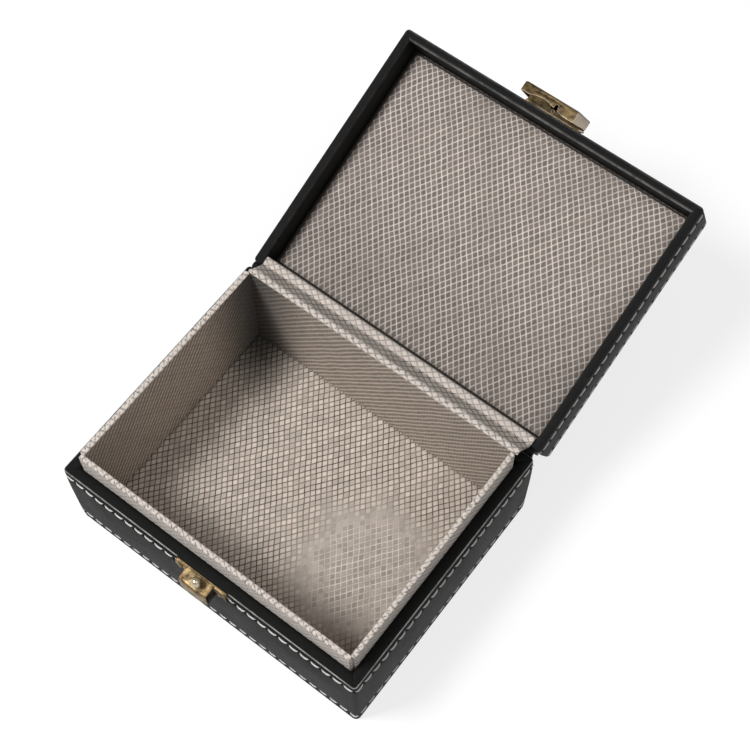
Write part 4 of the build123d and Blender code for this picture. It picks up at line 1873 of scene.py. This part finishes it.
@dataclass
class Strike(Assembly):
    """The brass bracket on the base's rim, its ball stud and its nails.

    Attributes:
        half: Half its width over the wings.
        shelf_half: Half the width of its shelf.
        reach: How far the shelf stands out from the wall.
        shelf_shift: How far the shelf's middle is from the latch's.
        drop: How far its apron hangs down from the rim.
        bow: How far the apron's ends come back towards the wall.
        ball_shift: How far the ball is from the latch's middle.
        ball_reach: How far the ball stands out from the wall.
        ball_rise: Height of the ball's middle above the rim.
        ball_radius: The ball's radius.
        nail_shift: How far each nail is from the latch's middle.
    """

    half: float = 11.0
    shelf_half: float = 6.0
    reach: float = 6.0
    shelf_shift: float = -0.35
    drop: float = 9.3
    bow: float = 0.5
    ball_shift: float = 0.6
    ball_reach: float = 3.7
    ball_rise: float = 2.7
    ball_radius: float = 1.88
    nail_shift: float = 8.6

    def web(self, side: int) -> Draft:
        """One of the webs that close the bracket between its apron and the wall, near black as
        painted shade.

        Args:
            side: 1 for the right end, -1 for the left.

        Returns:
            The closed web.
        """
        s = self.sizes
        middle = s.latch_x + self.shelf_shift
        ends = sorted(middle + side * (self.shelf_half - inset) for inset in (0.0, 0.35))
        low = (ends[0], -s.half_y - self.reach + 0.75, s.rim - self.drop + 0.25)
        high = (ends[1], -s.half_y - 0.6, s.rim - 1.3)
        points, faces = soft_box(low, high, 0.12, 1.0)
        draft = Draft()
        # Marked -1: darkened to near black, as painted shade inside the bracket.
        draft.add(points, faces, np.tile((0.0, 0.0, -1.0), (len(points), 1)))
        return draft

    def spur(self, side: int) -> Draft:
        """The lower leaf of a wing, which widens to a spur at its end.

        Args:
            side: 1 for the right wing, -1 for the left.

        Returns:
            The closed leaf.
        """
        s = self.sizes
        shares, down = np.linspace(0, 1, 12), np.linspace(0, 1, 8)
        start, top = self.shelf_half + 0.2, s.rim - 1.6
        foot = s.rim - 2.7 - 2.3 * shares**1.2
        face = np.zeros((len(shares), len(down), 3))
        face[..., 0] = (s.latch_x + side * (start + shares * (self.half - start)))[:, None]
        face[..., 1] = -s.half_y - 1.05 - 0.35 * down * shares[:, None]
        face[..., 2] = top + (foot - top)[:, None] * down
        marks = np.zeros_like(face)
        # Painted shade on the leaf's face, and a painted highlight along its lower edge.
        marks[..., 2] = -0.55
        marks[:, -1, 2] = 0.8
        return slab_of(face, face + (0, 0.35, 0), marks)

    def bracket(self) -> None:
        """Builds the strip with its folded wings, shelf, apron and webs."""
        s = self.sizes
        wall, top, x = -s.half_y, s.rim, s.latch_x
        flange = [(wall - 0.28, top - 3.5), (wall - 0.28, top + 0.08)]
        ridge = bent_strip(flange, 0.55, x - self.half, x + self.half, 0.1)
        wing = (self.half - self.shelf_half) / 2
        folds = [(wall - 0.5, top - 0.1), (wall - 1.15, top - 0.35), (wall - 1.25, top - 2.4)]
        centres = [x + side * (self.half - wing) for side in (-1, 1)]
        wings = [bent_strip(folds, 0.45, at - wing, at + wing, 0.3) for at in centres]
        front, middle = wall - self.reach + 0.45, x + self.shelf_shift
        path = [(wall - 0.45, top - 0.75), (front, top - 1.55), (front, top - self.drop)]
        shelf = bent_strip(path, 0.9, middle - self.shelf_half, middle + self.shelf_half, 0.7)
        for points in shelf.points:
            out = np.clip((wall - points[:, 1] - 2.0) / 3.0, 0, 1)
            points[:, 1] += self.bow * ((points[:, 0] - middle) / self.shelf_half) ** 2 * out
        extras = [make(side) for make in (self.web, self.spur) for side in (-1, 1)]
        whole = joined([ridge, *wings, shelf, *extras])
        soften(self.piece(whole, "strike_plate", "base", "antique_brass", "strike_bracket"), 0.11)

    def build(self) -> None:
        """Builds the three pieces."""
        s = self.sizes
        wall, top, x = -s.half_y, s.rim, s.latch_x
        self.bracket()
        foot = (x + self.ball_shift, wall - self.ball_reach, top - 0.5)
        radius, rise, rings = self.ball_radius, self.ball_rise + 0.5, 22
        turn = np.linspace(0.26, math.pi - 0.02, rings)
        # Painted shade: the ball's lower half and the stud under it are darkened.
        shaded = -0.7 * (1 - ease(np.linspace(0.26, math.pi, rings) / 1.5 - 0.45))
        stud = [
            (0, -1.6), (0.75, -1.55), (0.95, -1.35), (0.98, -1.0), (0.7, -0.98), (0.7, -0.1),
            (1.35, -0.1), (1.35, 0.18), (1.15, 0.36), (0.44, 0.42), (0.38, 1.1),
        ]
        marks = [-0.5] * len(stud) + [*shaded, 0.0]
        stud += [(radius * math.sin(a), rise - radius * math.cos(a)) for a in turn]
        stud += [(0, rise + radius)]
        ball = turned(stud, foot, (0, 0, 1), 40, marks)
        self.piece(ball, "strike_ball", "base", "polished_brass", "ball_stud")
        places = [(x + side * self.nail_shift, wall - 1.5, top - 1.75) for side in (-1, 1)]
        heads = nails(places, 0.95, 3.6)
        self.piece(heads, "strike_nail_heads", "base", "antique_brass", "strike_nails")


@dataclass
class Latch(Assembly):
    """The brass latch on the lid: back plate with its curved foot, nails and rocking cover.

    Attributes:
        half_foot: Half the cover's width at its foot.
        half_top: Half its width at its top.
        height: Its height.
        foot_slope: How far its foot's ends slope in.
        foot_rise: How far they rise.
        top_corner: How much of each top corner is cut off.
        back: Distance of its back edge from the wall.
        sheet: Its thickness.
        taper: How much shallower its right end is.
        reach_left: How far its left end is drawn out.
        counts: Points along each of its sides, from the foot's right end round.
        tongue: X and reach of the plate's curved foot, which the cover's foot follows.
        notch: X and depth of the place for the ball's neck in the cover's foot.
        plate_half: Half the plate's width.
        ear: Distance of the plate's ears from its middle.
        ear_thick: Thickness of an ear.
        spring_foot: Height of the leaf spring's bend above the lid's rim.
        spring_half: Half the leaf spring's width.
    """

    half_foot: float = 13.8
    half_top: float = 9.1
    height: float = 17.5
    foot_slope: float = 5.2
    foot_rise: float = 1.4
    top_corner: float = 1.5
    back: float = 2.4
    sheet: float = 0.4
    taper: float = 0.8
    reach_left: float = 0.7
    counts: tuple[int, ...] = (20, 24, 6, 24, 6, 24, 20, 90)
    tongue: tuple[Pair, ...] = (
        (-11.3, 2.3), (-10.2, 2.8), (-8.8, 3.2), (-7.2, 3.5), (-5.5, 3.6), (-3.5, 3.35),
        (-1.6, 2.75), (0.0, 2.45), (1.5, 2.1), (3.8, 1.5), (7.2, 1.2), (11.4, 1.0),
    )
    notch: tuple[Pair, ...] = (
        (-1.0, 2.4), (-0.85, 4.0), (-0.6, 4.35), (0.2, 4.35), (0.45, 4.0), (0.6, 2.3), (0.7, 0.0),
    )
    plate_half: float = 11.0
    ear: float = 9.3
    ear_thick: float = 0.8
    spring_foot: float = 10.2
    spring_half: float = 4.0

    def shelf(self) -> Draft:
        """The plate's foot, turned out from the wall, with a rolled rim and a curved free edge.

        Returns:
            The closed foot.
        """
        s = self.sizes
        ends = (self.tongue[0][0], self.tongue[-1][0])
        xs, across = np.linspace(*ends, 96)[:, None], np.linspace(0, 1, 26)
        reach = np.interp(xs, *zip(*self.tongue)) + 0.7
        reach = np.minimum(reach, 2.15 + 3.0 * ease((np.abs(xs + 0.2) - 1.7) / 1.6))
        out = 0.08 + (reach - 0.08) * across
        rolled = hump(out - 0.28, 0.2) * (ease((xs + 7.3) / 1.0) * ease((8.2 - xs) / 1.0))
        dish = 0.46 + 0.34 * ease((out - 0.5) / 1.2) - rolled * 0.26
        face = np.dstack([xs + out * 0, -s.half_y - out, s.lid_base + dish])
        marks = np.zeros_like(face)
        # Painted shade: the foot darker outwards and at its right end, under the cover; its rolled
        # rim marked bright, worn and lit as a painted highlight.
        shade = 0.25 + 0.35 * ease((out - 0.6) / 1.5) + 0.4 * ease((xs - 6.6) / 1.0)
        marks[..., 2] = rolled * 0.9 - shade * (1 - rolled)
        return slab_of(face, face + (0, 0, 0.34), marks)

    def plate(self) -> None:
        """Builds the back plate with its foot and ears, and its nails."""
        s = self.sizes
        wall, x, foot = -s.half_y, s.latch_x, s.lid_base + 0.9
        run = [(wall - 0.36, foot - 0.1), (wall - 0.36, foot + 16.55)]
        sheet = bent_strip(run, 0.7, x - self.plate_half, x + self.plate_half, 0.1)
        middle = s.lid_base + 8.8
        parts = [sheet, self.shelf()]
        for start in (x - self.ear - self.ear_thick, x + self.ear):
            low = (start, wall - 4.8, middle - 2.4)
            high = (start + self.ear_thick, wall - 0.4, middle + 2.4)
            ear = Draft()
            ear.add(*soft_box(low, high, 0.25, 1.0))
            parts.append(ear)
        eye = [
            (0, -0.1), (0.44, -0.1), (0.46, 0.0), (0.54, 0.34),
            (0.62, 0.38), (0.74, 0.30), (0.78, -0.1), (0, -0.2),
        ]
        marks = (-1.0, -1.0, -1.0, -0.2, 0.9, 0.5, 0.0, 0.0)
        parts.append(turned(eye, (-0.5, wall - 1.5, s.lid_base + 0.78), (0, 0, -1), 20, marks))
        knuckle = [(0, 0), (0.34, 0), (0.42, 0.15), (0.42, 1.9), (0.34, 2.1), (0, 2.1)]
        place = (11.2, wall - 0.7, s.lid_base + 0.72)
        parts.append(turned(knuckle, place, (1, 0, 0), 16, (0.7,) * len(knuckle)))
        made = self.piece(joined(parts), "latch_back_plate", "lid", "antique_brass", "latch_plate")
        soften(made, 0.08)
        centre = foot + 8.3
        places = [
            (x + side * 7.5, wall - 0.7, centre + up) for side in (-1, 1) for up in (-3.6, 4.4)
        ]
        heads = nails(places, 1.1, 3.0)
        self.piece(heads, "latch_nail_heads", "lid", "antique_brass", "latch_nails")

    def ring(self, inset: float, depth: float) -> np.ndarray:
        """One ring of points round the cover, from the foot's right end round to it again.

        Args:
            inset: How far it is drawn in.
            depth: Distance from the lid's front wall.

        Returns:
            The points, the middle of the cover's height at 0.
        """
        middle = self.height / 2
        lean = (self.half_foot - self.half_top) / (self.height - self.foot_rise)
        right = [
            (self.half_foot - self.foot_slope, -middle),
            (self.half_foot, self.foot_rise - middle),
            (self.half_top + lean * self.top_corner, middle - self.top_corner),
            (self.half_top - self.top_corner, middle),
        ]
        corners = np.array(right + [(-a, b) for a, b in reversed(right)])
        edge = np.roll(corners, -1, axis=0) - corners
        edge /= np.linalg.norm(edge, axis=1, keepdims=True)
        inward = np.column_stack([-edge[:, 1], edge[:, 0]])
        before = np.roll(inward, 1, axis=0)
        near = min(inset, 2.3)  # further in than this, the ring shrinks towards its middle
        drawn = corners + near * (inward + before) / (1 + (inward * before).sum(axis=1))[:, None]
        drawn *= 1 - (inset - near) / (middle - near)
        sides = [
            a + (b - a) * np.linspace(0, 1, count, endpoint=False)[:, None]
            for a, b, count in zip(drawn, np.roll(drawn, -1, axis=0), self.counts)
        ]
        flat = np.concatenate(sides)
        return np.column_stack([flat[:, 0], np.full(len(flat), depth), flat[:, 1]])

    def cover(self) -> None:
        """Builds the hollow press cover, its foot cut back round the ball and its ends drawn in."""
        s = self.sizes
        outer = [(0, d) for d in (self.back, 2.5, 2.7, 3.2, 3.9, 4.3, 4.6, 4.8, 5.0, 5.3, 5.75)]
        outer += [(0.12, 6.05), (0.45, 6.3), (0.95, 6.4), (1.5, 6.38)]
        outer += [(1.8, 6.2), (2.3, 6.16), (2.8, 6.3), (4.0, 6.42), (6.0, 6.5), (8.4, 6.5)]
        inner = [(8.4, 5.9), (6.0, 5.9), (3.0, 5.75), (1.6, 5.7)]
        inner += [(self.sheet, depth) for depth in (5.2, 3.6, self.back)]
        rows = np.array([self.ring(inset, depth) for inset, depth in outer + inner])
        x, depth, z = rows[..., 0], rows[..., 1], rows[..., 2]
        low = ease(1 - (z + self.height / 2 - self.foot_rise - self.sheet) / 2.5)
        place = x + s.latch_x
        mouth = np.maximum(np.interp(place, *zip(*self.tongue)), 1.55)
        mouth = np.where(low > 0.5, np.maximum(mouth, np.interp(place, *zip(*self.notch))), mouth)
        rear = self.back + (mouth - self.back) * low
        front = 6.0
        share = (front - depth) / (front - self.back)
        moved = np.where(depth < front, front - share * (front - rear), depth)
        moved -= self.taper * ease((x - 7.6) / 6.2) * (moved - self.back) / (6.5 - self.back)
        rows[..., 1] = moved
        foot = low * (z < self.foot_rise + self.sheet - self.height / 2)
        groove = hump(moved - 4.95 + 0.05 * np.abs(x + 2), 0.16)
        groove *= ease((x + 10.5) / 2) * ease((4.5 - x) / 3)
        left = ease((-x - 8.0) / 5.8)
        rows[..., 2] += foot * groove * 0.22 - left * foot * 0.9
        rows[..., 0] -= left * self.reach_left
        # Edges marked bright, worn and lit as a painted highlight; the groove darkened as painted
        # shade; the foot darker overall and towards its left end; the sloped right end bright all
        # over.
        edges = hump(moved - rear, 0.22) + 0.7 * hump(moved - 6.2, 0.2) * (np.abs(x) < 10)
        rub_and_shade = 1.1 * edges - 0.32 - 0.5 * groove - 0.3 * ease((-x - 3.0) / 8.0)
        marks = np.zeros_like(rows)
        marks[: len(outer), :, 2] = (rub_and_shade * foot)[: len(outer)]
        marks[: len(outer) - 6, : self.counts[0], 2] = 0.85
        draft = Draft()
        middle = s.lid_base + 0.05 + self.height / 2
        placed = np.stack([x + s.latch_x, -s.half_y - rows[..., 1], z + middle], axis=2)
        draft.grid(placed, True, True, marks)
        draft.cap_rows(len(outer) - 1, rows.shape[1])
        made = self.piece(draft, "latch_press_cover", "cover", "antique_brass", "latch_cover")
        soften(made, 0.10, 40.0)

    def spring(self) -> None:
        """Builds the bent leaf spring."""
        s = self.sizes
        face, foot = -s.half_y - 0.88, s.lid_base + self.spring_foot
        top, out = foot + 5.2, face - 4.85
        ends = (s.latch_x - self.spring_half, s.latch_x + self.spring_half)
        leaf = bent_strip([(face, top), (face, foot), (out, top)], 0.35, *ends, 0.5)
        made = self.piece(leaf, "latch_leaf_spring", "lid", "spring_steel", "latch_spring")
        soften(made, 0.06)
        root = s.opened(face, foot)
        tip = s.opened(face - 1.0, foot)
        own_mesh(made)

    def build(self) -> None:
        """Builds the latch."""
        self.plate()
        self.cover()
        self.spring()


# -------- pieces kept as they are
@dataclass
class KeptPieces:
    """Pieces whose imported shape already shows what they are; they only get their finish."""

    finishes: Finishes

    def build(self) -> None:
        """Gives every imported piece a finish, by its record slot."""
        slots = {row["node"]: row["material_slot"] for row in frame["record"]["subparts"]}
        for name, node in frame["nodes"].items():
            node.data.materials.clear()
            node.data.materials.append(self.finishes.by_slot[slots[name]])
        log.info("%d packed pieces have a finish", len(slots))


# -------- studio
@dataclass
class Studio:
    """Pale floor, soft lights and the camera.

    Attributes:
        place: Where the camera stands, in metres.
        right: Its own right.
        down: Its own down.
        ambient: Strength of the world's light.
        floor_glow: Strength of the floor's own white.
        zenith: Brightness overhead, as metal mirrors it.
        floor_half: Half the floor's width.
    """

    lens: float = 76.09
    place: Place = (0.15273, -0.14936, 0.55940)
    right: Place = (0.7945, 0.6072, -0.0074)
    down: Place = (0.5456, -0.7192, -0.4303)
    ambient: float = 0.25
    floor_glow: float = 0.74
    zenith: float = 0.35
    floor_half: float = 6.0

    def camera(self) -> None:
        """Makes the camera."""
        data = bpy.data.cameras.new("camera")
        data.lens, data.sensor_width = self.lens, 36.0
        data.clip_start, data.clip_end = 0.01, 20.0
        right, up = Vector(self.right).normalized(), -Vector(self.down).normalized()
        back = right.cross(up).normalized()
        up = back.cross(right)
        turn = Matrix((right, up, back)).transposed().to_4x4()
        camera = bpy.data.objects.new("camera", data)
        camera.matrix_world = Matrix.Translation(self.place) @ turn
        bpy.context.scene.collection.objects.link(camera)
        bpy.context.scene.camera = camera

    def light(self, name: str, place: Place, size: float, power: float) -> None:
        """Makes a square soft light that faces the box.

        Args:
            name: Its name.
            place: Where it stands, in metres.
            size: Its width in metres.
            power: Its power in watts.
        """
        data = bpy.data.lights.new(name, "AREA")
        data.shape, data.size, data.energy = "SQUARE", size, power
        lamp = bpy.data.objects.new(name, data)
        lamp.location = place
        towards = Vector((0, 0.03, 0.03)) - lamp.location
        lamp.rotation_euler = towards.to_track_quat("-Z", "Y").to_euler()
        bpy.context.scene.collection.objects.link(lamp)

    def world(self) -> None:
        """Lights the scene softly from all round, and shows white behind it."""
        sh = Shader(bpy.data.worlds.new("studio"))
        height = sh.axes(sh.out("TexCoord", "Generated"))[2]
        sky = 1 - sh.smooth(height, 0.05, 0.55) * (1 - self.zenith)
        mirrored = sh.out("LightPath", "Is Glossy Ray")
        seen = 1 - mirrored + mirrored * sky
        strength = self.ambient + sh.backdrop_seen() * (seen - self.ambient)
        back = sh.out("Background", 0, inputs={"Color": (1, 1, 1, 1), "Strength": strength})
        sh.node("OutputWorld", inputs={0: back})
        bpy.context.scene.world = sh.owner

    def floor(self) -> None:
        """Makes the pale floor, which shows as white but keeps the box's shadow."""
        sh = Shader.named("studio_floor")
        base = sh.out("BsdfDiffuse", 0, inputs={"Color": (0.30, 0.30, 0.30, 1.0)})
        glow = sh.out("Emission", 0, inputs={"Strength": sh.backdrop_seen() * self.floor_glow})
        both = sh.out("AddShader", 0, inputs={0: base, 1: glow})
        sh.node("OutputMaterial", inputs={0: both})
        mesh = bpy.data.meshes.new("studio_floor")
        ring = ((-1, -1), (1, -1), (1, 1), (-1, 1))
        corners = [(x * self.floor_half, y * self.floor_half, 0) for x, y in ring]
        mesh.from_pydata(corners, [], [(0, 1, 2, 3)])
        mesh.materials.append(sh.owner)
        floor = bpy.data.objects.new("studio_floor", mesh)
        floor.location = (0, 0, -0.0002)
        bpy.context.scene.collection.objects.link(floor)

    def build(self) -> None:
        """Makes the camera, the lights and the floor."""
        self.camera()
        self.world()
        self.light("key", (-0.56, -0.66, 1.46), 0.45, 21.5)
        self.light("fill", (0.80, -0.10, 1.40), 0.90, 4.5)
        self.floor()
        bpy.context.scene.view_settings.view_transform = "Standard"


def main() -> None:
    """Builds the box piece by piece."""
    logging.basicConfig(level=logging.INFO, format="%(name)s: %(message)s")
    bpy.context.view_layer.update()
    sizes, finishes = Sizes(), Finishes()
    KeptPieces(finishes).build()
    for assembly in (BaseShell, Tray, Lid, Hinge, Strike, Latch):
        assembly(sizes, finishes).build()
    Studio().build()


if __name__ == "__main__":
    main()
